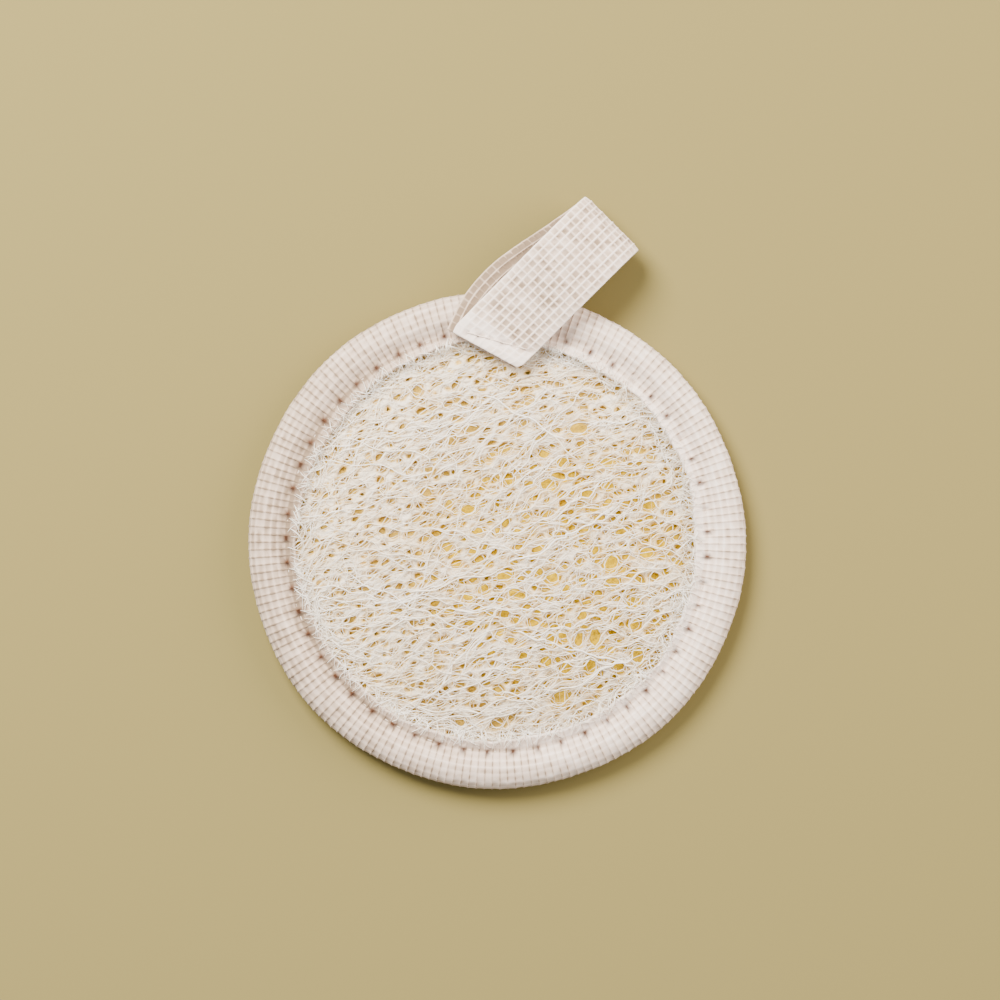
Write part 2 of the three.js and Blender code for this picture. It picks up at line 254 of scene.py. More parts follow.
# %% Geometry Nodes helpers
def geometry_tree(name, sizes):
    """A Geometry Nodes group with a geometry input, an input for each size, and an output."""
    tree = bpy.data.node_groups.new(name, "GeometryNodeTree")
    tree.interface.new_socket("Geometry", in_out="INPUT", socket_type="NodeSocketGeometry")
    for label, value in sizes.items():
        kind = "NodeSocketInt" if isinstance(value, int) else "NodeSocketFloat"
        tree.interface.new_socket(label, in_out="INPUT", socket_type=kind).default_value = value
    tree.interface.new_socket("Geometry", in_out="OUTPUT", socket_type="NodeSocketGeometry")
    start = add(tree, "NodeGroupInput")
    return tree, start.outputs


def run_tree(made, tree, sizes=None):
    """Runs a tree on an object and keeps the result as its plain mesh."""
    modifier = made.modifiers.new(tree.name, "NODES")
    modifier.node_group = tree
    for socket in tree.interface.items_tree:
        if socket.in_out == "INPUT" and socket.name in (sizes or {}):
            modifier[socket.identifier] = sizes[socket.name]
    evaluated = made.evaluated_get(bpy.context.evaluated_depsgraph_get())
    result = bpy.data.meshes.new_from_object(evaluated)
    made.modifiers.clear()
    made.data = result
    result.calc_loop_triangles()
    print(f"{made.name}: {len(result.loop_triangles)} triangles")
    return made


def end_tree(tree, geometry, material):
    """Ends a geometry tree with real geometry in one material."""
    real = add(tree, "GeometryNodeRealizeInstances", {"Geometry": geometry})
    painted = add(tree, "GeometryNodeSetMaterial", {"Geometry": real, "Material": material})
    add(tree, "NodeGroupOutput", {"Geometry": painted})


print("helpers for", [kind.__name__ for kind in (geometry_tree, run_tree, end_tree)])

# %% [markdown]
# ## The form of the pad
# The pad is fullest in the middle and the seam pinches its rim. Each layer has a height at the
# seam and a height in the middle, and one curve leads from one to the other. The web of loofah
# lies between a bottom and a top surface, and a level from 0 to 1 says how far up a fibre lies.

# %% Heights of the layers
PINCH_RADIUS = 39
PINCH_POWER = 3.2
CLOTH_TOP = (2.7, 1.7)
CORE_BOTTOM = (3.0, 2.0)
CORE_TOP = (3.7, 7.35)
WEB_BOTTOM = (4.1, 7.6)
WEB_TOP = (5.7, 9.7)
TAPE_EDGE = 40


def height_of(layer, radius):
    """The height of a layer, given as (at the seam, in the middle), at a distance from the axis."""
    seam, middle = layer
    fullness = 1 - np.minimum(1, np.asarray(radius) / PINCH_RADIUS) ** PINCH_POWER
    return seam + (middle - seam) * fullness


def web_points(places, level):
    """Places on the pad with their height in the web added."""
    radius = np.hypot(places[:, 0], places[:, 1])
    low = height_of(WEB_BOTTOM, radius)
    return np.column_stack([places, low + (height_of(WEB_TOP, radius) - low) * level])


print(f"loofah {WEB_TOP[1] - WEB_BOTTOM[1]:.1f} mm thick on foam {CORE_TOP[1] - CORE_BOTTOM[1]:.1f} mm thick")

# %% [markdown]
# ## The way the fibres run
# Loofah fibres flow in one main direction, here 19 degrees up from the photograph's horizontal.
# Towards the rim, above, below and on the left, they bend round with the rim. An angle of a fibre
# and the same angle plus half a turn mean the same, so directions are blended as doubled angles.

# %% Flow of the fibres
MAIN_ANGLE = math.radians(19)
WEB_REACH = 40.6


def flow_angle(x, y):
    """The direction of the fibres at a place on the pad, in radians from +X."""
    right = (x + y) * DIAGONAL
    up = (y - x) * DIAGONAL
    radius = np.hypot(x, y)
    main = MAIN_ANGLE - math.radians(8) * np.clip(right / 40, -1, 1)
    main = main + math.radians(7) * np.sin(up / 7 + 0.8 * np.sin(right / 9))
    round_rim = np.arctan2(up, right) + math.pi / 2
    bend = 0.6 * smoothstep(28, 41, radius) * (1 - smoothstep(-5, 25, right))
    doubled = (1 - bend) * np.exp(2j * main) + bend * np.exp(2j * round_rim)
    return np.angle(doubled) / 2 + PHOTO_TURN


print(f"at the axis the fibres run {math.degrees(flow_angle(0, 0)):.0f} degrees from +X")

# %% [markdown]
# ## Holes
# Where the fibres of a dried loofah part, small rounded holes are left. Cutting them out would
# leave cut ends. Instead each hole pushes the fibres aside: points near its middle move out to its
# edge, so that fibres run round it and bunch up there, as they do in the real web. A deep hole
# parts the strands and webs too and shows the foam. A shallow one opens only the felt below them.
# The list gives the largest holes: the pixel of each one's middle, its width and its height.

# %% Holes in the web
LARGE_HOLES = [
    (470, 429, 12, 7), (453, 439, 7, 11), (508, 481, 9, 9), (548, 484, 14, 9), (529, 482, 10, 8),
    (468, 509, 13, 8), (449, 504, 7, 9), (525, 517, 9, 8), (427, 492, 8, 9), (417, 391, 7, 10),
    (578, 429, 15, 10), (563, 463, 10, 10), (609, 463, 13, 9), (607, 486, 11, 7), (587, 494, 12, 8),
    (564, 520, 9, 9), (559, 535, 13, 6), (552, 577, 11, 11), (518, 594, 16, 8), (566, 589, 8, 10),
    (611, 562, 12, 14), (633, 602, 12, 11), (595, 551, 7, 11), (595, 636, 8, 18), (550, 640, 8, 13),
    (562, 636, 9, 10), (561, 697, 11, 16), (591, 665, 9, 16), (638, 655, 10, 16), (619, 666, 10, 10),
    (579, 638, 8, 14), (565, 668, 9, 11), (647, 553, 12, 9), (634, 624, 10, 10), (504, 576, 14, 10),
    (468, 597, 10, 7), (505, 613, 9, 7), (533, 622, 9, 6), (583, 615, 8, 9), (547, 660, 8, 9),
    (612, 582, 13, 10), (649, 505, 11, 8), (625, 504, 10, 6), (627, 450, 7, 8), (650, 457, 7, 7),
    (615, 616, 8, 9), (611, 650, 8, 8), (654, 662, 8, 8), (516, 668, 7, 8), (499, 691, 7, 9),
    (498, 724, 11, 7), (460, 722, 9, 7), (524, 655, 7, 8), (484, 588, 9, 9), (539, 572, 8, 7),
    (582, 580, 11, 7), (529, 400, 9, 7), (522, 423, 8, 7), (505, 449, 12, 7), (544, 453, 9, 8),
    (446, 546, 9, 7), (429, 469, 8, 8), (479, 530, 9, 6), (590, 466, 8, 7), (662, 543, 7, 8),
]
SMALL_HOLES = 820
HOLE_SPACING = 2.2
HALF_WIDTHS = (0.28, 0.6)
LENGTH_TO_WIDTH = (1.1, 2.1)
SHALLOW_DEPTHS = (0.35, 0.8)
OPEN_MIDDLE = (560, 570)
OPEN_REACH = 22
HOLE_SPREAD = 1.15
HOLE_TAPER = 0.2


def choose_holes(rng):
    """Rows of x, y, half length, half width, angle and depth, where 1 is down to the foam."""
    rows = np.empty((0, 6))
    for u, v, wide, high in LARGE_HOLES:
        x, y = from_photo(u, v)
        turn = PHOTO_TURN + rng.normal(0, 0.2)
        rows = np.vstack([rows, (x, y, wide * PIXEL / 2, high * PIXEL / 2, turn, 1.0)])
    open_x, open_y = from_photo(*OPEN_MIDDLE)
    tries = 6 * SMALL_HOLES
    for _ in range(tries):
        angle = rng.uniform(0, 2 * math.pi)
        radius = WEB_REACH * math.sqrt(rng.uniform(0, 0.97))
        x, y = radius * math.cos(angle), radius * math.sin(angle)
        clear = np.hypot(x - rows[:, 0], y - rows[:, 1]) - rows[:, 2]
        if clear.min() < HOLE_SPACING / 2 or len(rows) >= len(LARGE_HOLES) + SMALL_HOLES:
            continue
        openness = math.exp(-((x - open_x) ** 2 + (y - open_y) ** 2) / (2 * OPEN_REACH**2))
        half_width = rng.uniform(*HALF_WIDTHS) * (0.75 + 0.35 * openness)
        depth = 1.0 if rng.uniform() < 0.12 + 0.75 * openness else rng.uniform(*SHALLOW_DEPTHS)
        turn = float(flow_angle(x, y)) + rng.normal(0, 0.3)
        half_length = half_width * rng.uniform(*LENGTH_TO_WIDTH)
        rows = np.vstack([rows, (x, y, half_length, half_width, turn, depth)])
    return rows


def part_fibres(paths, holes, level):
    """Paths pushed out of holes, which are a little wider at the top of the web than below."""
    moved = np.vstack(paths)
    size = HOLE_SPREAD - HOLE_TAPER * (1 - level)
    for x, y, half_length, half_width, turn, _ in holes[::-1]:
        reach = 3 * size * max(half_length, half_width)
        near = np.flatnonzero(np.abs(moved - (x, y)).max(axis=1) < reach)
        along = np.array([math.cos(turn), math.sin(turn)]) * half_length * size
        across = np.array([-math.sin(turn), math.cos(turn)]) * half_width * size
        offset = moved[near] - (x, y)
        u = offset @ along / (along @ along)
        v = offset @ across / (across @ across)
        distance = np.maximum(np.hypot(u, v), 1e-6)
        pushed = np.where(distance < 3, (distance**3 + 1) ** (1 / 3) / distance, 1)
        moved[near] = (x, y) + np.outer(u * pushed, along) + np.outer(v * pushed, across)
    return np.split(moved, np.cumsum([len(path) for path in paths])[:-1])


holes = choose_holes(np.random.default_rng(7))
print(f"{len(holes)} holes, {int((holes[:, 5] == 1).sum())} of them down to the foam")

# %% [markdown]
# ## Strands
# The top of the web is strands some 3 to 30 mm long that run with the flow, cross each other at
# small angles and end against others. Each is walked out step by step through the flow, with a lean
# and a slow wander of its own. All strands of a layer take each step together, as numpy arrays,
# which is far quicker than one after another.

# %% Strands
STRAND_STEP = 0.55
FEWEST_POINTS = 5


def walk_strands(rng, count, shortest, longest, lean, wander, waves):
    """Strands as a list of arrays of places, cut off at the edge of the web."""
    steps = int(longest / STRAND_STEP)
    number = np.arange(count)
    radius = (WEB_REACH + 6) * np.sqrt((number + rng.uniform(size=count)) / count)
    bearing = number * math.pi * (3 - math.sqrt(5)) + rng.uniform(0, 0.6, count)
    place = np.column_stack([radius * np.cos(bearing), radius * np.sin(bearing)])
    own_lean = rng.normal(0, lean, count)
    phase = rng.uniform(0, 2 * math.pi, count)
    wave = rng.uniform(*waves, count)
    heading = rng.choice([-1.0, 1.0], count)
    walked = [place]
    for step in range(steps):
        turn = own_lean + wander * np.sin(phase + step * STRAND_STEP * 2 * math.pi / wave)
        angle = flow_angle(place[:, 0], place[:, 1]) + turn
        ahead = np.column_stack([np.cos(angle), np.sin(angle)]) * heading[:, None]
        if step:
            flip = np.sign((ahead * last).sum(axis=1))
            ahead = ahead * np.where(flip == 0, 1, flip)[:, None]
        last = ahead
        place = place + ahead * STRAND_STEP
        walked.append(place)
    walked = np.stack(walked, axis=1)
    kept = (rng.uniform(shortest, longest, count) / STRAND_STEP).astype(int)
    strands = []
    for strand, steps_kept in zip(walked, kept):
        strands += split_at_edge(strand[: steps_kept + 1])
    return strands


def split_at_edge(strand):
    """The stretches of a strand that lie inside the web's edge."""
    inside = np.hypot(strand[:, 0], strand[:, 1]) < WEB_REACH
    breaks = np.flatnonzero(np.diff(inside.astype(int))) + 1
    parts = np.split(strand, breaks)
    return [part for part in parts if len(part) >= FEWEST_POINTS and np.hypot(*part[0]) < WEB_REACH]


print(f"strands take steps of {STRAND_STEP} mm and end {WEB_REACH} mm from the axis")

# %% [markdown]
# ## Cross webs
# Between the strands lies a finer web whose threads branch at joints of three, like a leaf's
# veins. Its holes are cells round scattered sites: one of Blender's functions joins the sites to
# triangles, the middles of these are the web's joints, and neighbouring middles are joined by a
# thread. At each joint the two threads that are most in line are run together as one fibre.

# %% Cross webs
SITE_SHIFT = 0.75


def cell_sites(rng, length, width):
    """Sites of cells on staggered rows that run with the main direction, each moved a little."""
    reach = WEB_REACH + 3
    row_height = width * 0.87
    rows = int(reach / row_height) + 1
    columns = int(reach / length) + 1
    grid = [(c + 0.5 * (r % 2), r) for r in range(-rows, rows + 1) for c in range(-columns, columns + 1)]
    sites = np.array(grid, float) + rng.uniform(-SITE_SHIFT, SITE_SHIFT, (len(grid), 2))
    sites *= (length, row_height)
    return sites[np.hypot(sites[:, 0], sites[:, 1]) < reach]


def web_threads(faces):
    """The threads of a web, each as the numbers of the two neighbouring triangles it joins."""
    beside = {}
    threads = []
    for index, face in enumerate(faces):
        for a, b in zip(face, (*face[1:], face[0])):
            border = (min(a, b), max(a, b))
            other = beside.pop(border, None)
            if other is None:
                beside[border] = index
            else:
                threads.append((other, index))
    return threads


def straightest(joints, threads):
    """Maps (joint, thread) to the thread that carries it on there in the straightest line."""
    at_joint = [[] for _ in joints]
    for number, ends in enumerate(threads):
        for end in ends:
            at_joint[end].append(number)

    def heading(number, start):
        a, b = threads[number]
        step = joints[b if a == start else a] - joints[start]
        return step / (np.hypot(*step) + 1e-9)

    carries_on = {}
    for joint, numbers in enumerate(at_joint):
        pairs = [
            (float(heading(a, joint) @ heading(b, joint)), a, b)
            for i, a in enumerate(numbers)
            for b in numbers[i + 1:]
        ]
        if pairs:
            _, a, b = min(pairs)
            carries_on[(joint, a)] = b
            carries_on[(joint, b)] = a
    return carries_on


print("a lone triangle has", len(web_threads([(0, 1, 2)])), "threads")

# %% [markdown]
# ## Fibres of a cross web
# A fibre starts as one thread and is made longer at both ends while a thread carries it on. The
# web is worked out along +X, squeezed so that its cells are even, and then turned to the way the
# fibres run. Cells near the edge are kept, and what lies beyond it is cut off later.

# %% Web fibres
SAME_PLACE = 1e-7


def web_fibres(rng, length, width):
    """The fibres of a web with cells of a length and a width, as arrays of places on the pad."""
    sites = cell_sites(rng, length, width)
    even = sites * (width / length, 1)
    faces = delaunay_2d_cdt([Vector(site) for site in even], [], [], 0, SAME_PLACE)[2]
    joints = np.array([sites[list(face)].mean(axis=0) for face in faces])
    threads = web_threads(faces)
    carries_on = straightest(joints, threads)
    fibres = []
    used = set()
    for number, (start, end) in enumerate(threads):
        if number in used:
            continue
        used.add(number)
        path = [start, end]
        for forwards in (True, False):
            thread = number
            while True:
                tip = path[-1] if forwards else path[0]
                thread = carries_on.get((tip, thread))
                if thread is None or thread in used:
                    break
                used.add(thread)
                a, b = threads[thread]
                beyond = b if a == tip else a
                path = [*path, beyond] if forwards else [beyond, *path]
        fibres.append(joints[path])
    return [turn_places(fibre) for fibre in fibres]


def turn_places(places):
    """Places laid out along +X, turned to the web's main direction."""
    turn = MAIN_ANGLE + PHOTO_TURN
    cos, sin = math.cos(turn), math.sin(turn)
    return places @ np.array([[cos, sin], [-sin, cos]])


sample_cells = len(cell_sites(np.random.default_rng(0), 3, 2))
print(f"a web with cells of 3 by 2 mm has about {sample_cells} of them")

# %% [markdown]
# ## Smooth paths
# Joints and routes are few points, so a smooth curve is led through them. This kind of curve goes
# through every point, and it weighs each step by the root of its length, so that it makes no loops
# or kinks between points that lie close together.

# %% Smooth paths
def smooth_path(points, per_step):
    """A curve through points, with per_step samples from each to the next."""
    padded = np.vstack([2 * points[0] - points[1], points, 2 * points[-1] - points[-2]])
    a, b, c, d = padded[:-3], padded[1:-2], padded[2:-1], padded[3:]
    gap = np.maximum(np.linalg.norm(np.diff(padded, axis=0), axis=1), 1e-6)[:, None] ** 0.5
    before, within, after = gap[:-2], gap[1:-1], gap[2:]
    leave = within * ((b - a) / before - (c - a) / (before + within)) + (c - b)
    arrive = (c - b) + within * ((d - c) / after - (d - b) / (within + after))
    samples = []
    for t in np.arange(per_step) / per_step:
        samples.append(
            b
            + leave * t
            + (3 * (c - b) - 2 * leave - arrive) * t**2
            + (2 * (b - c) + leave + arrive) * t**3
        )
    inner = np.stack(samples, axis=1).reshape(-1, points.shape[1])
    return np.vstack([inner, points[-1]])


print(len(smooth_path(np.eye(3), 4)), "points on a curve of two steps with 4 samples each")

# %% [markdown]
# ## From paths to fibres
# A path becomes a fibre when Geometry Nodes sweeps a small circle along it. Three or four sides
# are enough for fibres under a fifth of a millimetre thick, because shading is smooth, and a few
# hundred thousand triangles then hold the whole web. Each point carries its thickness, and for the
# material how deep the fibre lies and a tone of its own.

# %% Fibre tree
THICKNESS_SPREAD = (-0.05, 0.35)


def fibre_tree(material):
    """Sweeps a circle along every path of a mesh of edges."""
    tree, inputs = geometry_tree("sweep fibres", {"Sides": 4})
    paths = add(tree, "GeometryNodeMeshToCurve", {"Mesh": inputs["Geometry"]})
    thickness = add(tree, "GeometryNodeInputNamedAttribute", {"Name": "thickness"}, data_type="FLOAT")
    circle = add(tree, "GeometryNodeCurvePrimitiveCircle", {"Resolution": inputs["Sides"], "Radius": 1.0})
    swept = add(
        tree,
        "GeometryNodeCurveToMesh",
        {"Curve": paths, "Profile Curve": circle, "Scale": thickness, "Fill Caps": True},
    )
    smooth = add(tree, "GeometryNodeSetShadeSmooth", {"Geometry": swept})
    end_tree(tree, smooth, material)
    return tree


def fibres_object(name, layers, tree, sides):
    """One object of fibres. layers is a list of (paths with heights, level, half thickness)."""
    points, edges, thickness, depth, tone = [], [], [], [], []
    start = 0
    rng = np.random.default_rng(len(name))
    for paths, level, half_thickness in layers:
        for path in paths:
            count = len(path)
            own = half_thickness * math.exp(rng.normal(*THICKNESS_SPREAD))
            ends = np.minimum(np.arange(count), np.arange(count)[::-1])
            points.append(path)
            edges += [(start + i, start + i + 1) for i in range(count - 1)]
            thickness.append(own * MM * np.minimum(1, 0.45 + 0.3 * ends))
            depth.append(np.full(count, 1 - level))
            tone.append(np.full(count, rng.uniform()))
            start += count
    made = new_object(name, np.vstack(points), edges)
    set_attribute(made, "thickness", np.concatenate(thickness))
    set_attribute(made, "depth", np.concatenate(depth))
    set_attribute(made, "tone", np.concatenate(tone))
    return run_tree(made, tree, {"Sides": sides})


print(f"most fibres are at most {math.exp(THICKNESS_SPREAD[1]):.1f} times thicker or finer than is usual")

# %% [markdown]
# ## Loofah fibre
# Bleached loofah is cellulose: off-white, dry and slightly glossy. The topmost fibres are a rather
# cool white, and those that lie deeper get painted shade, a warmer, darker straw colour. Two
# attributes give each fibre its place in that blend, and soft patches some 6 mm wide keep it from
# looking even. On the felt, hairs too fine to model are drawn as relief, 2 mm long and 0.3 mm wide,
# which is coarser than the real ones, so that they show.

# %% Loofah material
PATCH_SIZE = 6.25
HAIRS_PER_MM = (0.5, 3.2, 2.0)
HAIR_RELIEF = 0.3


def loofah_material(name, stops, fibrous=False):
    """Dry plant fibre: a soft gloss on single strands, and a matt, hairy look where it's felt."""
    material, tree, shader = new_material(name, 0.5, specular=0.45, sheen=0.15)
    depth = add(tree, "ShaderNodeAttribute", attribute_name="depth")
    tone = add(tree, "ShaderNodeAttribute", attribute_name="tone")
    place = add(tree, "ShaderNodeTexCoord")
    patches = add(
        tree,
        "ShaderNodeTexNoise",
        {"Vector": place.outputs["Object"], "Scale": 1 / (PATCH_SIZE * MM), "Detail": 3.0},
    )
    # Painted shade: the deeper a fibre lies, the further along the blend it goes, to a darker, warmer straw.
    spread = add(
        tree,
        MATHS,
        {0: patches.outputs["Fac"], 1: 0.4, 2: depth.outputs["Fac"]},
        operation="MULTIPLY_ADD",
    )
    shifted = add(tree, MATHS, {0: tone.outputs["Fac"], 1: 0.2, 2: spread}, operation="MULTIPLY_ADD")
    blend = add(tree, "ShaderNodeValToRGB", {"Fac": shifted})
    set_stops(blend, stops)
    tree.links.new(blend.outputs["Color"], shader.inputs["Base Color"])
    if fibrous:
        along = add(
            tree,
            "ShaderNodeMapping",
            {
                "Vector": place.outputs["Object"],
                "Rotation": (0, 0, -(MAIN_ANGLE + PHOTO_TURN)),
                "Scale": [count / MM for count in HAIRS_PER_MM],
            },
        )
        hairs = add(
            tree,
            "ShaderNodeTexNoise",
            {"Vector": along, "Scale": 1.0, "Detail": 4.0, "Distortion": 1.5},
        )
        bump = add(
            tree,
            "ShaderNodeBump",
            {"Height": hairs.outputs["Fac"], "Strength": 0.8, "Distance": HAIR_RELIEF * MM},
        )
        tree.links.new(bump.outputs["Normal"], shader.inputs["Normal"])
    return material


loofah = loofah_material(
    "bleached loofah fibre",
    [(0.2, "#fffcf6"), (0.5, "#fdf3e2"), (0.8, "#f3deb6"), (1.0, "#e6c684")],
)
print("made", loofah.name)

# %% [markdown]
# ## Layers of the web
# The real web is laid down in layers, and so is this one. Long strands lie on top, shorter and
# curlier ones among them, and two cross webs below, the lower one with smaller cells. Strands wave
# up and down a little. At the edge, short stray fibres climb over the tape, as if the needle had
# pulled them up. One source of random numbers with a fixed seed serves all the layers.

# %% Layers of the web
WEB_SEED = 21
RISE = 0.06
RISE_LENGTHS = (6, 14)
STRAY_LENGTHS = (2, 4.5)
STRAY_STARTS = (37, 40)
STRAY_REACH = 41.9
STRAY_LEVEL = 0.9
TAPE_EDGE_TOP = 7.0
TAPE_SLOPE = 0.42
web_rng = np.random.default_rng(WEB_SEED)
deep_holes = holes[holes[:, 5] == 1]


def strand_layer(count, level, half_thickness, lengths, lean, wander, waves):
    """Strands at about one level, parted round the deep holes. Sizes are in mm."""
    strands = walk_strands(web_rng, count, *lengths, lean, wander, waves)
    paths = []
    for strand in part_fibres(strands, deep_holes, level):
        wave = web_rng.uniform(*RISE_LENGTHS)
        phase = web_rng.uniform(0, 2 * math.pi)
        travelled = np.arange(len(strand)) * STRAND_STEP
        rise = RISE * np.sin(travelled * 2 * math.pi / wave + phase)
        own = level + web_rng.uniform(-0.1, 0.1)
        paths.append(web_points(strand, own + rise))
    return paths, level, half_thickness


def cross_layer(length, width, level, half_thickness, per_step):
    """A cross web at about one level, parted round the deep holes."""
    parts = []
    for fibre in web_fibres(web_rng, length, width):
        parts += split_at_edge(smooth_path(fibre, per_step))
    paths = []
    for part in part_fibres(parts, deep_holes, level):
        paths.append(web_points(part, level + web_rng.uniform(-0.07, 0.07)))
    return paths, level, half_thickness


def stray_layer(count, half_thickness):
    """Short fibres of the web's edge that climb over the tape's selvedge."""
    paths = []
    for bearing in web_rng.uniform(0, 2 * math.pi, count):
        outward = np.array([math.cos(bearing), math.sin(bearing)])
        heading = bearing + web_rng.normal(0, 0.8)
        length = web_rng.uniform(*STRAY_LENGTHS)
        along = np.linspace(0, length, 9)
        bend = web_rng.uniform(-0.5, 0.5) * np.sin(along / length * math.pi)
        ahead = np.array([math.cos(heading), math.sin(heading)])
        aside = np.array([-ahead[1], ahead[0]])
        start = outward * web_rng.uniform(*STRAY_STARTS)
        places = start + np.outer(along, ahead) + np.outer(bend, aside)
        radius = np.hypot(*places.T)
        web_top = height_of(WEB_TOP, radius)
        tape_top = TAPE_EDGE_TOP - TAPE_SLOPE * np.maximum(0, radius - TAPE_EDGE)
        height = web_top + (tape_top - web_top) * smoothstep(38.3, 39.8, radius)
        if radius.max() < STRAY_REACH:
            paths.append(np.column_stack([places, height]))
    return paths, STRAY_LEVEL, half_thickness


print(f"{len(deep_holes)} holes part the strands")

# %% [markdown]
# ## Build the web
# Each layer gets its number of fibres, its level in the web and its thickness, so that the drawn
# web is as dense as the real one. The upper fibres have four sides, because light shows their form.

# %% Build the web
sweep = fibre_tree(loofah)
strands = strand_layer(
    count=560,
    level=0.85,
    half_thickness=0.08,
    lengths=(6, 30),
    lean=0.38,
    wander=0.3,
    waves=(5, 14),
)
loofah_strands = fibres_object("loofah_strands", [strands], sweep, sides=4)
curls = strand_layer(
    count=1500,
    level=0.8,
    half_thickness=0.06,
    lengths=(3, 12),
    lean=0.7,
    wander=0.5,
    waves=(4, 9),
)
strays = stray_layer(count=1500, half_thickness=0.065)
loofah_curls = fibres_object("loofah_curls", [curls, strays], sweep, sides=3)
web_top = cross_layer(length=2.9, width=2.0, level=0.72, half_thickness=0.095, per_step=3)
loofah_web_top = fibres_object("loofah_web_top", [web_top], sweep, sides=3)
web_low = cross_layer(length=2.2, width=1.6, level=0.52, half_thickness=0.085, per_step=3)
loofah_web_low = fibres_object("loofah_web_low", [web_low], sweep, sides=3)
webs = (loofah_strands, loofah_curls, loofah_web_top, loofah_web_low)

# %% [markdown]
# ## The felt of the inner web
# Further in, the fibres of the inner web are so fine and close that they look like felt, with
# rounded holes in it. It's built as one closed sheet. A grid of triangles is pushed out of the holes
# just as the fibres are, and the triangles that lay inside a hole are left out, so that each hole
# has a smooth edge. The sheet is lumpy and slopes down to its holes.

# %% Felt grid
FELT_GRID = 0.38
FAR = 9.0


def hex_grid(spacing, reach):
    """Places on a grid of even triangles, and the triangles."""
    row_height = spacing * 0.866
    rows = int(reach / row_height) + 2
    columns = int(reach / spacing) + 2
    i, j = np.meshgrid(np.arange(-columns, columns), np.arange(-rows, rows))
    places = np.column_stack([((i + 0.5 * (j % 2)) * spacing).ravel(), (j * row_height).ravel()])
    number = np.arange(i.size).reshape(i.shape)
    a, b = number[:-1, :-1], number[:-1, 1:]
    c, d = number[1:, :-1], number[1:, 1:]
    odd = (j[:-1, :-1] % 2) == 1
    lower = np.stack([a, b, np.where(odd, d, c)], axis=-1).reshape(-1, 3)
    upper = np.stack([np.where(odd, a, b), d, c], axis=-1).reshape(-1, 3)
    return places, np.vstack([lower, upper])


def distance_to_holes(places, openings):
    """How far each place is from its nearest hole, as a share of the hole's size."""
    nearest = np.full(len(places), FAR)
    for x, y, half_length, half_width, angle, _ in openings:
        near = np.flatnonzero(np.abs(places - (x, y)).max(axis=1) < 4 * half_length)
        offset = places[near] - (x, y)
        cos, sin = math.cos(angle), math.sin(angle)
        u = (offset[:, 0] * cos + offset[:, 1] * sin) / half_length
        v = (offset[:, 1] * cos - offset[:, 0] * sin) / half_width
        nearest[near] = np.minimum(nearest[near], np.hypot(u, v))
    return nearest


places, triangles = hex_grid(FELT_GRID, WEB_REACH)
print(f"a grid of {len(places)} places, {FELT_GRID} mm apart")

# %% [markdown]
# ## The felt's sheet
# The triangles that lie beyond the edge or well inside a hole go first, then the rest are pushed
# out of the holes. Lumps and the slope down to each hole set the level of the top. The bottom is
# the same sheet lower down, facing the other way, and a strip along every open edge joins the two.

# %% Felt
FELT_LEVEL = 0.45
FELT_BOTTOM = -0.03
FELT_OPENING = 1.35
LUMP = 0.09
SLOPE_TO_HOLE = 0.3
SLOPE_REACH = 0.5
WELL_INSIDE = 0.8

openings = holes * (1, 1, FELT_OPENING, FELT_OPENING, 1, 1)
inside = distance_to_holes(places, openings)
triangles = triangles[
    (np.hypot(places[:, 0], places[:, 1])[triangles].max(axis=1) < WEB_REACH)
    & (inside[triangles].max(axis=1) > WELL_INSIDE)
]
kept_places, triangles = np.unique(triangles, return_inverse=True)
triangles = triangles.reshape(-1, 3)
(places,) = part_fibres([places[kept_places]], openings, 1.0)
past_edge = np.maximum(distance_to_holes(places, openings) - 1, 0)
shoulder = np.exp(-((past_edge / SLOPE_REACH) ** 2))
x, y = places.T
lumps = np.sin(x / 1.1 + 2 * np.sin(y / 2.3)) * np.sin(y / 0.9 + 1.5 * np.sin(x / 1.7))
top = web_points(places, FELT_LEVEL + LUMP * lumps - SLOPE_TO_HOLE * shoulder)
bottom = web_points(places, FELT_BOTTOM)
edges = np.vstack([triangles[:, [0, 1]], triangles[:, [1, 2]], triangles[:, [2, 0]]])
_, where, times = np.unique(np.sort(edges, axis=1), axis=0, return_index=True, return_counts=True)
rim = edges[where[times == 1]]
below = len(places)
felt_faces = [
    *triangles.tolist(),
    *(triangles[:, ::-1] + below).tolist(),
    *np.column_stack([rim[:, ::-1], rim + below]).tolist(),
]
felt_material = loofah_material(
    "bleached loofah felt",
    [(0.6, "#fbeed9"), (0.8, "#f4ddae"), (1.0, "#e4bf68")],
    fibrous=True,
)
felt = new_object("loofah_felt", np.vstack([top, bottom]), faces=felt_faces, material=felt_material)
# Painted shade: the felt's top lies deeper in the blend where it slopes down to a hole, and its underside
# lies deepest.
set_attribute(felt, "depth", np.concatenate([0.42 + 0.5 * shoulder, np.ones(below)]))
set_attribute(felt, "tone", np.zeros(2 * below))
print(f"loofah_felt: {2 * len(triangles) + 2 * len(rim)} triangles")

for web in (felt, *webs):
    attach(web, "root")
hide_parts("loofah_net")

# %% [markdown]
# ## Foam
# Under the loofah lies a disc of yellow foam, which shows through the deep holes. It's a turned
# shape: a profile from the axis out and back to the axis, swept round. Small dents from a few
# sine waves keep its skin from looking turned. The terry's ground cloth is made the same way.

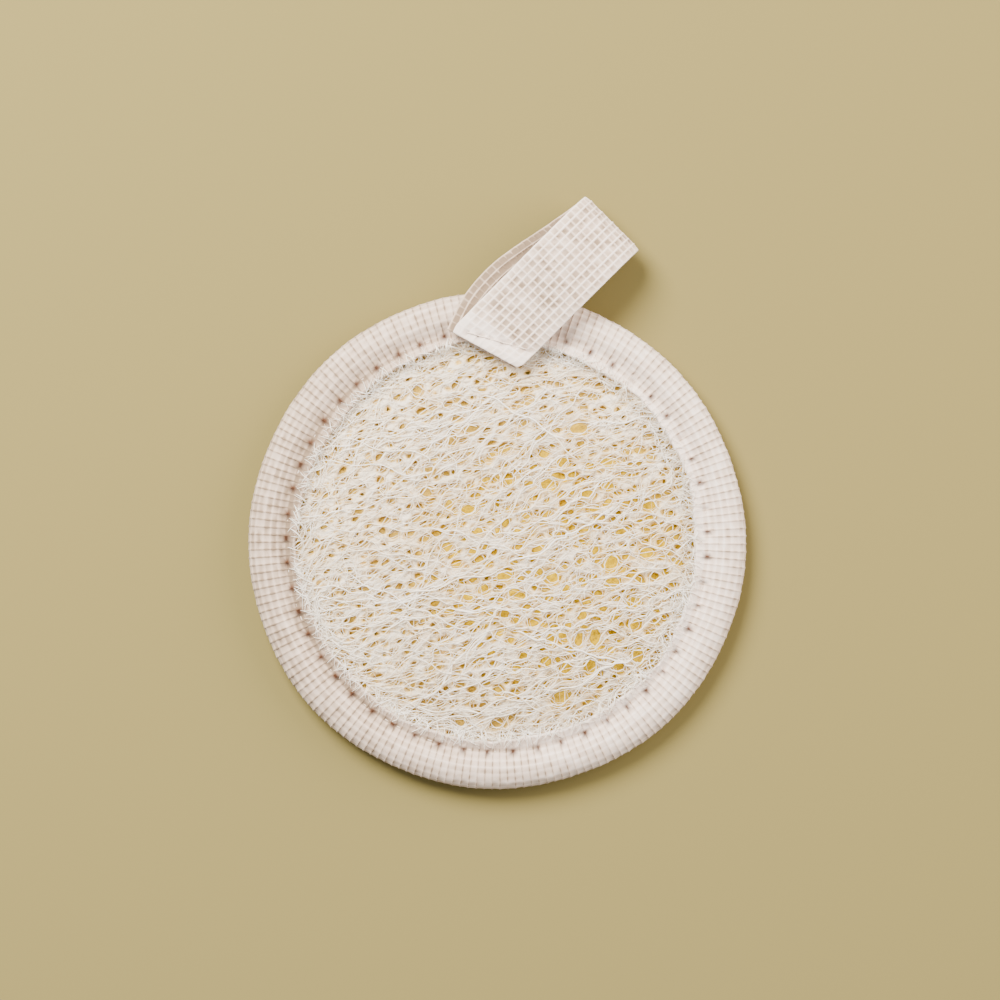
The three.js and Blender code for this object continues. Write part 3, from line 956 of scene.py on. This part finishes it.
# %% Turned shapes
def turned_object(name, profile, steps, material, dents=0.0):
    """A closed body of rings from a profile of (radius, height) that starts and ends on the axis."""
    profile = np.array(profile, float)
    rings = profile[1:-1]
    angle = 2 * math.pi * np.arange(steps) / steps
    x = np.outer(rings[:, 0], np.cos(angle))
    y = np.outer(rings[:, 0], np.sin(angle))
    z = np.repeat(rings[:, 1:2], steps, axis=1)
    z = z + dents * (np.sin(x * 1.9 + np.sin(y * 1.3)) + np.sin(y * 2.3 + np.cos(x)))
    points = [(0, 0, profile[0, 1]), *np.stack([x, y, z], axis=2).reshape(-1, 3), (0, 0, profile[-1, 1])]
    last = len(points) - 1
    faces = []
    for here in range(steps):
        beyond = (here + 1) % steps
        faces.append((0, 1 + beyond, 1 + here))
        faces.append((last, last - steps + here, last - steps + beyond))
        for ring in range(len(rings) - 1):
            a = 1 + ring * steps
            b = a + steps
            faces.append((a + here, a + beyond, b + beyond, b + here))
    return new_object(name, points, faces=faces, material=material)


def layer_profile(layer, radii):
    """The profile of one side of a layer, as pairs of radius and height."""
    return [(radius, float(height_of(layer, radius))) for radius in radii]


print("foam at the axis:", [f"{pair[1]:.1f} mm" for pair in layer_profile(CORE_TOP, [0])])

# %% [markdown]
# ## Foam core
# The foam is polyurethane, foamed in a block and cut to a disc. The cut opens its pores, so it's
# matt and finely pitted, with painted shade in the pits. It is bright yellow only under the open
# middle of the web, and towards the rim it is painted a duller straw colour, as painted shade of
# the deeper web. The real pores are too fine to show, and these are drawn 0.7 mm wide.

# %% Foam core
CORE_RADIUS = 46.2
PORES_PER_MM = 1.4
PORE_DEPTH = 0.3


def foam_material():
    """Yellow foam: matt and pitted, with painted shade in its pits and a duller straw away from the web's
    open middle.
    """
    material, tree, shader = new_material("yellow polyurethane foam", 0.95, specular=0.05)
    place = add(tree, "ShaderNodeTexCoord")
    unshaded = add(tree, "ShaderNodeAttribute", attribute_name="unshaded")
    pores = add(
        tree,
        "ShaderNodeTexVoronoi",
        {"Vector": place.outputs["Object"], "Scale": PORES_PER_MM / MM},
    )
    # Painted shade: the pits are a darker yellow.
    yellow = add(tree, "ShaderNodeValToRGB", {"Fac": pores.outputs["Distance"]})
    set_stops(yellow, [(0.0, "#a88a00"), (0.35, "#d2ae00"), (0.8, "#e6c200")])
    # Painted shade: away from the open middle the yellow turns to a duller straw colour.
    painted_foam_shade = add(
        tree,
        "ShaderNodeMix",
        {"Factor": unshaded.outputs["Fac"], "A": srgb("#c8a860"), "B": yellow.outputs["Color"]},
        data_type="RGBA",
    )
    tree.links.new(painted_foam_shade.outputs["Result"], shader.inputs["Base Color"])
    bump = add(
        tree,
        "ShaderNodeBump",
        {"Height": pores.outputs["Distance"], "Strength": 0.5, "Distance": PORE_DEPTH * MM},
    )
    tree.links.new(bump.outputs["Normal"], shader.inputs["Normal"])
    return material


core = turned_object(
    "foam_core",
    [
        *layer_profile(CORE_BOTTOM, np.linspace(0, PINCH_RADIUS, 12)),
        (CORE_RADIUS, CORE_BOTTOM[0]),
        (CORE_RADIUS, CORE_TOP[0]),
        *layer_profile(CORE_TOP, np.linspace(PINCH_RADIUS, 0, 30)),
    ],
    120,
    foam_material(),
    dents=0.05,
)
core_places = np.array([vertex.co[:2] for vertex in core.data.vertices]) / MM
from_open = np.hypot(*(core_places - from_photo(*OPEN_MIDDLE)).T)
# Painted shade: 1 is full yellow under the open middle of the web, and less is duller straw towards the rim.
unshaded = np.clip(1.15 - smoothstep(16, 38, from_open), 0.35, 1)
set_attribute(core, "unshaded", unshaded)
print(f"foam_core: {np.mean(unshaded == 1):.0%} of its points are bare yellow foam")
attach(core, "root")
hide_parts("sponge_core")

# %% [markdown]
# ## Ribbed cotton tape
# The binding and the loop are grosgrain: cotton tape with thick cords across it and fine warp lines
# along it. On the binding the cords stand side by side with thin grooves between them. On the loop
# both sets stand up as a grid. One node tree raises both from two phases that each point carries,
# and pulls the tape down at the needle's holes. It stores how high each point stands, so that the
# material can darken the grooves, where little light reaches real cotton.

# %% Weave tree
YARNS_PER_MM = 0.65


def ridges(tree, phase, sharpness, relief):
    """Ridges one phase apart: sharpness under 1 makes them broad, and over 1 narrow."""
    angle = add(tree, MATHS, {0: phase, 1: math.pi}, operation="MULTIPLY")
    wave = add(tree, MATHS, {0: angle}, operation="COSINE")
    upward = add(tree, MATHS, {0: wave}, operation="ABSOLUTE")
    shaped = add(tree, MATHS, {0: upward, 1: sharpness}, operation="POWER")
    return add(tree, MATHS, {0: shaped, 1: relief}, operation="MULTIPLY")


def weave_tree(material):
    """Raises cords and lines on a tape and sinks the needle's holes."""
    sizes = {
        "Cord relief": 0.3 * MM,
        "Cord sharpness": 0.45,
        "Line relief": 0.12 * MM,
        "Line sharpness": 6.0,
        "Hole depth": 0.9 * MM,
        "Unevenness": 0.9,
    }
    tree, inputs = geometry_tree("raise weave", sizes)
    carried = {
        name: add(tree, "GeometryNodeInputNamedAttribute", {"Name": name}, data_type="FLOAT")
        for name in ("cord", "line", "weave", "hole")
    }
    cords = ridges(tree, carried["cord"], inputs["Cord sharpness"], inputs["Cord relief"])
    lines = ridges(tree, carried["line"], inputs["Line sharpness"], inputs["Line relief"])
    height = add(tree, MATHS, {0: cords, 1: lines}, operation="MAXIMUM")

    # The noise makes some yarns stand up more than others.
    place = add(tree, "GeometryNodeInputPosition")
    yarn = add(tree, "ShaderNodeTexNoise", {"Vector": place, "Scale": YARNS_PER_MM / MM})
    from_mean = add(tree, MATHS, {0: yarn.outputs["Fac"], 1: 0.5}, operation="SUBTRACT")
    uneven = add(tree, MATHS, {0: from_mean, 1: 2.0}, operation="MULTIPLY")
    strength = add(tree, MATHS, {0: uneven, 1: inputs["Unevenness"], 2: 1.0}, operation="MULTIPLY_ADD")
    weave = add(tree, MATHS, {0: carried["weave"], 1: strength}, operation="MULTIPLY")
    woven = add(tree, MATHS, {0: height, 1: weave}, operation="MULTIPLY")

    # What the material reads for its painted shade: 1 on top of a cord or a line, and less in the grooves.
    full = add(tree, MATHS, {0: inputs["Cord relief"], 1: inputs["Line relief"]}, operation="MAXIMUM")
    share = add(tree, MATHS, {0: height, 1: full}, operation="DIVIDE")
    line_share = add(tree, MATHS, {0: lines, 1: inputs["Line relief"]}, operation="DIVIDE")
    from_height = add(tree, MATHS, {0: share, 1: 0.7}, operation="MULTIPLY")
    seen = add(tree, MATHS, {0: line_share, 1: 0.3, 2: from_height}, operation="MULTIPLY_ADD")
    hidden = add(tree, MATHS, {0: 1.0, 1: seen}, operation="SUBTRACT")
    groove = add(tree, MATHS, {0: hidden, 1: weave}, operation="MULTIPLY")
    raised = add(tree, MATHS, {0: 1.0, 1: groove}, operation="SUBTRACT")
    stored = add(
        tree,
        "GeometryNodeStoreNamedAttribute",
        {"Geometry": inputs["Geometry"], "Name": "raised", "Value": raised},
        data_type="FLOAT",
        domain="POINT",
    )

    # The points move along their normals, out to the weave and in at the holes.
    sunk = add(tree, MATHS, {0: carried["hole"], 1: inputs["Hole depth"]}, operation="MULTIPLY")
    outward = add(tree, MATHS, {0: woven, 1: sunk}, operation="SUBTRACT")
    normal = add(tree, "GeometryNodeInputNormal")
    offset = add(tree, "ShaderNodeVectorMath", {0: normal, "Scale": outward}, operation="SCALE")
    moved = add(tree, "GeometryNodeSetPosition", {"Geometry": stored, "Offset": offset})
    end_tree(tree, moved, material)
    return tree


# %% [markdown]
# ## The tape's cotton
# The cotton is unbleached and spun unevenly: matt, cream, with slubs, which are thick spots in the
# yarn, here drawn some 2 mm long so that they show. The grooves get painted shade, darker than the
# cords. The side of the binding that turns away from the fill light and the lower leg of the loop get
# further painted shade, and the loop's upper leg is painted a little lighter. The needle's holes are
# painted dark brown, as painted shade of the dark inside of the fold.

# %% Tape material
SLUBS_PER_MM = 0.42
SLUB_RELIEF = 0.2


def tape_material():
    """Woven cotton tape: a dry, soft surface, cream on the cords and painted shade in the grooves."""
    material, tree, shader = new_material("unbleached cotton grosgrain", 0.85, specular=0.25, sheen=0.25)
    raised = add(tree, "ShaderNodeAttribute", attribute_name="raised")
    hole = add(tree, "ShaderNodeAttribute", attribute_name="hole")
    place = add(tree, "ShaderNodeTexCoord")
    slubs = add(
        tree,
        "ShaderNodeTexNoise",
        {"Vector": place.outputs["Object"], "Scale": SLUBS_PER_MM / MM, "Detail": 3.0},
    )
    # Painted shade: the shaded attribute darkens the colour, and below 0 it paints it lighter; low raised
    # values darken the grooves.
    shaded = add(tree, "ShaderNodeAttribute", attribute_name="shaded")
    lit = add(
        tree,
        MATHS,
        {0: shaded.outputs["Fac"], 1: -0.5, 2: raised.outputs["Fac"]},
        operation="MULTIPLY_ADD",
    )
    darker = add(tree, MATHS, {0: lit, 1: 0.08}, operation="SUBTRACT")
    shifted = add(tree, MATHS, {0: slubs.outputs["Fac"], 1: 0.5, 2: darker}, operation="MULTIPLY_ADD")
    cream = add(tree, "ShaderNodeValToRGB", {"Fac": shifted})
    set_stops(cream, [(0.1, "#8f7a64"), (0.45, "#cdb5a0"), (0.85, "#ecd7c7"), (1.0, "#f8e8dc")])
    # Painted shade: the needle's holes turn dark brown.
    dark = add(
        tree,
        "ShaderNodeMix",
        {"Factor": hole.outputs["Fac"], "A": cream.outputs["Color"], "B": srgb("#4c2a10")},
        data_type="RGBA",
    )
    tree.links.new(dark.outputs["Result"], shader.inputs["Base Color"])
    bump = add(
        tree,
        "ShaderNodeBump",
        {"Height": slubs.outputs["Fac"], "Strength": 0.35, "Distance": SLUB_RELIEF * MM},
    )
    tree.links.new(bump.outputs["Normal"], shader.inputs["Normal"])
    return material


tape = tape_material()
raise_weave = weave_tree(tape)
print(f"the tree that raises the weave has {len(raise_weave.nodes)} nodes")

# %% [markdown]
# ## Closed strips
# Both tapes are closed bodies: sections of the same number of points, one after another, joined by
# quads. The binding's sections close round the pad. The loop's strip has ends, which are capped.
# The sections stand closer together at each rib's edge, where the tape bends most.

# %% Strips
RIB_COLUMNS = (0, 0.08, 0.2, 0.8, 0.92)


def strip_object(name, sections, closed, attributes, material):
    """A closed body from sections of points. attributes maps a name to values for each point."""
    count, around = sections.shape[:2]
    points = sections.reshape(-1, 3)
    faces = []
    for i in range(count if closed else count - 1):
        a = i * around
        b = (i + 1) % count * around
        for here in range(around):
            beyond = (here + 1) % around
            faces.append((a + here, a + beyond, b + beyond, b + here))
    if not closed:
        faces.append(tuple(range(around))[::-1])
        faces.append(tuple(range((count - 1) * around, count * around)))
    made = new_object(name, points, faces=faces, material=material)
    for label, values in attributes.items():
        set_attribute(made, label, np.broadcast_to(values, (count, around)).reshape(-1))
    return made


def rib_stops(ribs):
    """Stops from 0 to 1 along a tape, as many to each rib as RIB_COLUMNS has."""
    return (np.arange(ribs)[:, None] + RIB_COLUMNS).ravel() / ribs


def along_path(points, stops):
    """Places at stops from 0 to 1 of a path's length, and the distance to each."""
    travelled = np.concatenate([[0], np.cumsum(np.linalg.norm(np.diff(points, axis=0), axis=1))])
    reached = stops * travelled[-1]
    return np.column_stack([np.interp(reached, travelled, column) for column in points.T]), reached


print(f"{len(RIB_COLUMNS)} sections to each rib")

# %% [markdown]
# ## Binding
# One tape is folded over the rim and sewn through all layers a little way in from its edges, where
# it dips. Its cords run straight in from the rim. Round the needle's holes the tape puckers, and
# its selvedge, the smooth woven edge, waves in and out a little where it lies on the web.

# %% Binding's section
TAPE_HALF = 0.4
ROLL_RADIUS = 45.6
ROLL_LEVEL = 3.6
ROLL_HALF_WIDTH = 4
ROLL_HALF_HEIGHT = 3.2
BACK_EDGE, BACK_SEAM = (TAPE_EDGE, 0.5), (42.4, 1.4)
FACE_EDGE, FACE_SEAM = (TAPE_EDGE, 6.4), (42.2, 5.6)
OUTER_POINTS = 70
INNER_POINTS = 12

quarters = np.radians([-90, -45, 0, 45, 90])
roll = np.column_stack(
    [ROLL_RADIUS + ROLL_HALF_WIDTH * np.cos(quarters), ROLL_LEVEL + ROLL_HALF_HEIGHT * np.sin(quarters)]
)
profile = smooth_path(np.vstack([BACK_EDGE, BACK_SEAM, roll, FACE_SEAM, FACE_EDGE]), 30)
outer, reached = along_path(profile, np.linspace(0, 1, OUTER_POINTS))
inner, inner_reached = along_path(profile, np.linspace(0, 1, INNER_POINTS))


def beside(path, distance):
    """A path of radius and height moved sideways, to the right of its way."""
    step = np.gradient(path, axis=0)
    step /= np.linalg.norm(step, axis=1)[:, None]
    return path + distance * np.column_stack([step[:, 1], -step[:, 0]])


section = np.vstack([beside(outer, TAPE_HALF), beside(inner, -TAPE_HALF)[::-1]])
print(f"the folded tape is {reached[-1]:.1f} mm wide when flat")

# %% [markdown]
# ## The binding's turn
# Each rib has a few sections round the turn. A stitch every 5 mm pulls the tape in on both faces,
# so it puckers there, and the edges and the rim wave a little, as hand-fed tape does. Each point
# carries what the weave tree reads: its place among the cords and lines, how much weave it has, and
# how near it is to a hole, where the material also paints the tape dark as painted shade. The valley
# along the seam and the pad's left side get painted shade in their colour.

# %% Binding
SEAM_RADIUS = 42.1
STITCHES = 53
CORDS = 195
LINE_PITCH = 1.46
PUCKER_DEPTH = 0.45
EDGE_WAVES = [(0.28, 5, 1), (0.2, 13, 0), (0.1, STITCHES, 0)]
RIM_WAVES = [(0.16, 3, 0.5), (0.1, 8, 2)]


def waves_round(turn, waves):
    """The sum of waves round the turn, each given as height in mm, number to the turn and start."""
    return sum(height * np.sin(number * turn + start) for height, number, start in waves)


from_edge = np.minimum(reached, reached[-1] - reached)
woven = 0.5 + 0.5 * smoothstep(1.0, 2.2, from_edge)
weave_share = np.concatenate([woven, np.zeros(INNER_POINTS)])
line_phase = np.concatenate([reached, inner_reached[::-1]]) / LINE_PITCH
turn = 2 * math.pi * rib_stops(CORDS)[:, None]
to_left = -(np.cos(turn) + np.sin(turn)) * DIAGONAL
radius = section[None, :, 0]
height = section[None, :, 1]
stitch_phase = turn * STITCHES / (2 * math.pi)
from_hole = (stitch_phase - np.round(stitch_phase)) * 2 * math.pi * SEAM_RADIUS / STITCHES
near_seam = np.exp(-(((radius - SEAM_RADIUS) / 1.3) ** 2))
facing = np.where(height > RIM_HEIGHT / 2, 1.0, -1.0)
pulled = PUCKER_DEPTH * np.exp(-((from_hole / 1.1) ** 2)) * near_seam
edge_wave = waves_round(turn, EDGE_WAVES) * (1 - smoothstep(TAPE_EDGE, 42, radius))
rim_wave = waves_round(turn, RIM_WAVES) * smoothstep(43, 49, radius)
waved = radius + edge_wave + rim_wave
binding_points = np.stack(
    [waved * np.cos(turn), waved * np.sin(turn), height - facing * pulled],
    axis=2,
)
on_outside = np.concatenate([np.ones(OUTER_POINTS), np.zeros(INNER_POINTS)])
hole_width = 0.5 + 0.2 * to_left
hole_shape = np.exp(-((from_hole / hole_width) ** 4) - ((radius - SEAM_RADIUS) / 0.8) ** 4)
# Painted shade along the valley just inside the seam.
valley = np.exp(-(((radius - 41.3) / 1.4) ** 2))
binding = strip_object(
    "binding",
    binding_points,
    True,
    {
        "cord": turn / (2 * math.pi) * CORDS + 0.5,
        "line": line_phase,
        "weave": weave_share,
        # The hole value sinks the needle's holes and paints them dark, as painted shade; the shaded value
        # paints shade on the pad's left side and in the valley.
        "hole": np.minimum(1, 1.5 * hole_shape) * on_outside,
        "shaded": np.clip(0.2 + 0.6 * to_left, 0, 1) + valley * (0.35 + 0.55 * to_left),
    },
    tape,
)
run_tree(binding, raise_weave)
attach(binding, "root")
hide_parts("binding_tape")

# %% [markdown]
# ## Hanging loop
# A shorter piece of the same tape is folded in two. Its lower leg peeks out to the left of the
# upper one, and both ends are cut on a slant and sewn down on the binding. The route of its middle
# is the one that the CAD model follows. The tape's upper end is turned under, so it is blunt and its
# weave shows less there.

# %% The loop's route
LOOP_ROUTE = [
    (-29.4, 25.0, 8.6), (-31.8, 31.5, 8.15), (-32.2, 38.5, 8.0), (-31.4, 44.5, 7.0),
    (-30.5, 49.5, 4.0), (-29.7, 54.5, 2.0), (-29.0, 59.0, 2.3), (-28.7, 60.9, 5.6),
    (-28.7, 58.6, 9.6), (-28.7, 53.0, 11.6), (-28.7, 46.0, 12.0), (-28.7, 39.0, 10.5),
    (-28.7, 32.0, 9.6), (-28.7, 25.3, 9.9),
]
LOOP_WIDTH = 15
LOOP_HALF = 0.42
LOOP_RIBS = 52
LOOP_LINES = 10
END_SLANT = 0.27
END_SHARE = 1 / 6
BLUNT_REACH = 0.7
NARROW_REACH = 1.6
HEM_START, HEM_END = 5.5, 3.5

share = np.append(rib_stops(LOOP_RIBS), 1)
route, loop_reached = along_path(smooth_path(np.array(LOOP_ROUTE), 24), share)
ahead = np.gradient(route, axis=0) * (0, 1, 1)
ahead /= np.linalg.norm(ahead, axis=1)[:, None]
upward = np.column_stack([0 * share, -ahead[:, 2], ahead[:, 1]])
slant = END_SLANT * np.maximum(0, 1 - np.minimum(share, 1 - share) / END_SHARE)
across = 2 * np.append(rib_stops(LOOP_LINES), 1) - 1
side = np.concatenate([across, across[::-1]])
face = np.repeat([-1.0, 1.0], len(across))
slim = 1 - 0.5 * np.abs(side) ** 30
loop_length = loop_reached[-1]
from_end = loop_length - loop_reached[:, None]
blunt = 1 - 0.7 * (1 - np.minimum(1, from_end / BLUNT_REACH)) ** 2
narrow = 1 - 0.08 * (1 - np.minimum(1, from_end / NARROW_REACH)) ** 2
hem = smoothstep(loop_length - HEM_START, loop_length - HEM_END, loop_reached)
sideways = np.stack(
    [
        side * narrow * LOOP_WIDTH / 2,
        side * slant[:, None] * LOOP_WIDTH / 2,
        np.zeros((len(share), len(side))),
    ],
    axis=2,
)
thickness = (blunt * face * slim * LOOP_HALF)[:, :, None]
loop_points = route[:, None, :] - upward[:, None, :] * thickness + sideways
print(f"the loop is {loop_length:.1f} mm long along its middle")

# %% [markdown]
# ## The loop's seam
# One row of stitches holds the upper leg. The tape dips along the row, and the needle leaves a
# small hole at each end of a stitch. Only the upper leg's own points are moved.

# %% Hanging loop
LOOP_STITCHES = 5
UPPER_LEG_START = 0.6
ROW_DIP = 0.35
row_start = np.array([-33.6, 25.2])
row_end = np.array([-22.8, 31.2])

row_length = np.linalg.norm(row_end - row_start)
row_along = (row_end - row_start) / row_length
from_start = loop_points[:, :, :2] - row_start
row_phase = from_start @ row_along / row_length * LOOP_STITCHES
from_row = from_start @ (-row_along[1], row_along[0])
nearest_hole = np.clip(np.round(row_phase), 0, LOOP_STITCHES)
beside_hole = (row_phase - nearest_hole) * row_length / LOOP_STITCHES
on_upper_leg = (share > UPPER_LEG_START)[:, None]
on_upper_face = (face > 0) & on_upper_leg
loop_holes = np.exp(-((beside_hole / 0.5) ** 4) - (from_row / 0.55) ** 4) * on_upper_face
loop_points[:, :, 2] -= ROW_DIP * np.exp(-((from_row / 1.6) ** 2)) * on_upper_leg
loop = strip_object(
    "loop",
    loop_points,
    False,
    {
        "cord": share[:, None] * LOOP_RIBS,
        "line": (side + 1) / 2 * LOOP_LINES,
        "weave": (1 - 0.6 * np.abs(side) ** 12) * (1 - 0.5 * hem[:, None]),
        # Painted shade: the needle's holes are painted dark at half strength; the shaded value paints shade
        # on the lower leg, and paints the upper leg a little lighter, its hem most.
        "hole": 0.5 * loop_holes,
        "shaded": 1.3 * (1 - smoothstep(0.42, 0.52, share))[:, None] - 0.3 * hem[:, None] - 0.1,
    },
    tape,
)
run_tree(
    loop,
    raise_weave,
    {
        "Cord relief": 0.2 * MM,
        "Cord sharpness": 12.0,
        "Line relief": 0.25 * MM,
        "Line sharpness": 10.0,
    },
)
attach(loop, "root")
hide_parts("hanging_loop")

# %% [markdown]
# ## Sewing
# A lockstitch shows on both faces as short stitches that dive into the needle's holes. Here each
# row is one thread that rises between the holes and sinks at them. The row that holds the loop lies
# on its upper end. The thread is spun cotton in two plies, twisted once in half a millimetre.

# %% Thread material
THREAD_TWIST = 0.5
PLY_RELIEF = 0.05


def thread_material():
    """Spun cotton thread: matt, with fine light and dark bands from the turns of its plies, the dark ones
    painted shade.
    """
    material, tree, shader = new_material("spun cotton sewing thread", 0.7, specular=0.3, sheen=0.2)
    place = add(tree, "ShaderNodeTexCoord")
    twist = add(
        tree,
        "ShaderNodeTexWave",
        {"Vector": place.outputs["Object"], "Scale": 1 / (THREAD_TWIST * MM), "Distortion": 2.0},
        bands_direction="DIAGONAL",
    )
    # Painted shade: darker bands between the turns of the plies.
    cream = add(tree, "ShaderNodeValToRGB", {"Fac": twist.outputs["Fac"]})
    set_stops(cream, [(0.0, "#cbb5a2"), (0.5, "#e8d5c6"), (1.0, "#f2e4d8")])
    tree.links.new(cream.outputs["Color"], shader.inputs["Base Color"])
    bump = add(
        tree,
        "ShaderNodeBump",
        {"Height": twist.outputs["Fac"], "Strength": 0.4, "Distance": PLY_RELIEF * MM},
    )
    tree.links.new(bump.outputs["Normal"], shader.inputs["Normal"])
    return material


thread = thread_material()
sweep_thread = fibre_tree(thread)
print(f"{thread.name}, with a turn of twist each {THREAD_TWIST} mm")

# %% [markdown]
# ## Rows of stitches
# The needle's row lies on the face and the bobbin's on the back, over the same holes. The bobbin's
# thread is a little thicker and dives less, because it's the slacker of the two.

# %% Stitches
POINTS_TO_STITCH = 10
DIVE_SHARE = 0.13


def stitch_row(name, places, holes_at, surface, dive, half_thickness, replaced, facing=1):
    """A thread over a surface height that dives at the holes. holes_at is a phase for each place."""
    away = np.abs(holes_at - np.round(holes_at))
    level = surface + facing * (half_thickness - dive * np.exp(-((away / DIVE_SHARE) ** 2)))
    points = np.column_stack([places, level])
    edges = [(i, i + 1) for i in range(len(points) - 1)]
    made = new_object(name, points, edges)
    set_attribute(made, "thickness", np.full(len(points), half_thickness * MM))
    run_tree(made, sweep_thread, {"Sides": 6})
    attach(made, "root")
    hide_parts(replaced)


seam_turn = np.linspace(0, 2 * math.pi, POINTS_TO_STITCH * STITCHES + 1)
seam_places = SEAM_RADIUS * np.column_stack([np.cos(seam_turn), np.sin(seam_turn)])
seam_phase = seam_turn * STITCHES / (2 * math.pi)
stitch_row(
    "needle_stitches",
    seam_places,
    seam_phase,
    surface=5.42,
    dive=1.4,
    half_thickness=0.15,
    replaced="needle_thread",
)
stitch_row(
    "bobbin_stitches",
    seam_places,
    seam_phase,
    surface=1.25,
    dive=0.7,
    half_thickness=0.18,
    replaced="bobbin_thread",
    facing=-1,
)
row_share = np.linspace(0, 1, POINTS_TO_STITCH * LOOP_STITCHES + 1)
row = row_start + row_share[:, None] * (row_end - row_start)
upper_leg = route[len(route) // 2:][::-1]
loop_surface = np.interp(row[:, 1], upper_leg[:, 1], upper_leg[:, 2]) + LOOP_HALF
stitch_row(
    "loop_stitches",
    row,
    row_share * LOOP_STITCHES,
    surface=loop_surface - ROW_DIP,
    dive=0.5,
    half_thickness=0.14,
    replaced="loop_thread",
)

# %% [markdown]
# ## Terry back
# The photograph doesn't show the back. Pads of this kind have cotton terry there: a plain ground
# cloth with a pile of small yarn loops. The ground is a turned shape that stands a little off the
# floor, so that the pile carries the pad. Towards its edge it rises to where the tape holds it.

# %% Terry ground
PILE_HEIGHT = 0.9
UNDER_TAPE = 2.15
TERRY_YARN = 0.6
YARN_RELIEF = 0.2
GROUND_EDGE = [(37.6, PILE_HEIGHT), (38.9, 1.1), (39.7, 1.5)]


def terry_material():
    """Cotton terry, washed: soft and matt, its loops catching light in patches, painted into the colour as
    light and shade.
    """
    material, tree, shader = new_material("washed cotton terry", 0.95, specular=0.15, sheen=0.35)
    place = add(tree, "ShaderNodeTexCoord")
    yarns = add(
        tree,
        "ShaderNodeTexNoise",
        {"Vector": place.outputs["Object"], "Scale": 1 / (TERRY_YARN * MM), "Detail": 3.0},
    )
    # Painted light and shade: the noise that raises the relief also makes high spots paler and low spots
    # darker.
    white = add(tree, "ShaderNodeValToRGB", {"Fac": yarns.outputs["Fac"]})
    set_stops(white, [(0.3, "#d2c4b0"), (0.55, "#ece2d5"), (0.75, "#f8f2ea")])
    tree.links.new(white.outputs["Color"], shader.inputs["Base Color"])
    bump = add(
        tree,
        "ShaderNodeBump",
        {"Height": yarns.outputs["Fac"], "Strength": 0.6, "Distance": YARN_RELIEF * MM},
    )
    tree.links.new(bump.outputs["Normal"], shader.inputs["Normal"])
    return material


terry = terry_material()
cloth = turned_object(
    "terry_ground",
    [
        (0, PILE_HEIGHT),
        (20, PILE_HEIGHT),
        *GROUND_EDGE,
        (BACK_SEAM[0], UNDER_TAPE),
        (CORE_RADIUS, UNDER_TAPE),
        (CORE_RADIUS, CLOTH_TOP[0]),
        *layer_profile(CLOTH_TOP, np.linspace(PINCH_RADIUS, 0, 8)),
    ],
    96,
    terry,
)
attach(cloth, "root")
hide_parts("backing_cloth")

# %% [markdown]
# ## Terry pile
# The node tree stands one loop of yarn on each point of a grid, with a fixed seed for the way it
# turns and leans. The loop hangs down from the ground cloth and is swept once, then repeated.

# %% Terry pile
PILE_PITCH = 1.15
PILE_RADIUS = 39.4
PILE_SEED = 3
PILE_SHIFT = 0.2
FOOT_APART = 0.3
FOOT_INSIDE = 0.1
HANDLE_APART = 0.55
HANDLE_ASIDE = 0.1
HANDLE_DOWN = 0.85


def pile_tree(material):
    """Stands a bent loop of yarn on every point of a mesh."""
    sizes = {"Yarn thickness": 0.21 * MM, "Lean": 0.35, "Seed": 4}
    tree, inputs = geometry_tree("stand pile", sizes)
    points = add(tree, "GeometryNodeMeshToPoints", {"Mesh": inputs["Geometry"]})
    path = add(
        tree,
        "GeometryNodeCurvePrimitiveBezierSegment",
        {
            "Resolution": 6,
            "Start": (-FOOT_APART * MM, 0, FOOT_INSIDE * MM),
            "Start Handle": (-HANDLE_APART * MM, HANDLE_ASIDE * MM, -HANDLE_DOWN * MM),
            "End Handle": (HANDLE_APART * MM, -HANDLE_ASIDE * MM, -HANDLE_DOWN * MM),
            "End": (FOOT_APART * MM, 0, FOOT_INSIDE * MM),
        },
    )
    circle = add(
        tree,
        "GeometryNodeCurvePrimitiveCircle",
        {"Resolution": 3, "Radius": inputs["Yarn thickness"]},
    )
    loop_of_yarn = add(
        tree,
        "GeometryNodeCurveToMesh",
        {"Curve": path, "Profile Curve": circle, "Fill Caps": True},
    )
    lean = inputs["Lean"]
    back = add(tree, MATHS, {0: lean, 1: -1.0}, operation="MULTIPLY")
    lowest = add(tree, "ShaderNodeCombineXYZ", {"X": back, "Y": back})
    highest = add(tree, "ShaderNodeCombineXYZ", {"X": lean, "Y": lean, "Z": 2 * math.pi})
    turned = add(
        tree,
        "FunctionNodeRandomValue",
        {"Min": lowest, "Max": highest, "Seed": inputs["Seed"]},
        data_type="FLOAT_VECTOR",
    )
    standing = add(
        tree,
        "GeometryNodeInstanceOnPoints",
        {"Points": points, "Instance": loop_of_yarn, "Rotation": turned.outputs["Value"]},
    )
    smooth = add(tree, "GeometryNodeSetShadeSmooth", {"Geometry": standing})
    end_tree(tree, smooth, material)
    return tree


pile_rng = np.random.default_rng(PILE_SEED)
steps = int(PILE_RADIUS / PILE_PITCH) + 1
grid = np.array([(i, j) for i in range(-steps, steps + 1) for j in range(-steps, steps + 1)], float)
grid = (grid + pile_rng.uniform(-PILE_SHIFT, PILE_SHIFT, grid.shape)) * PILE_PITCH
from_middle = np.hypot(grid[:, 0], grid[:, 1])
foot = np.interp(from_middle, *np.transpose(GROUND_EDGE))
pile = new_object("terry_pile", np.column_stack([grid, foot])[from_middle < PILE_RADIUS])
run_tree(pile, pile_tree(terry))
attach(pile, "root")
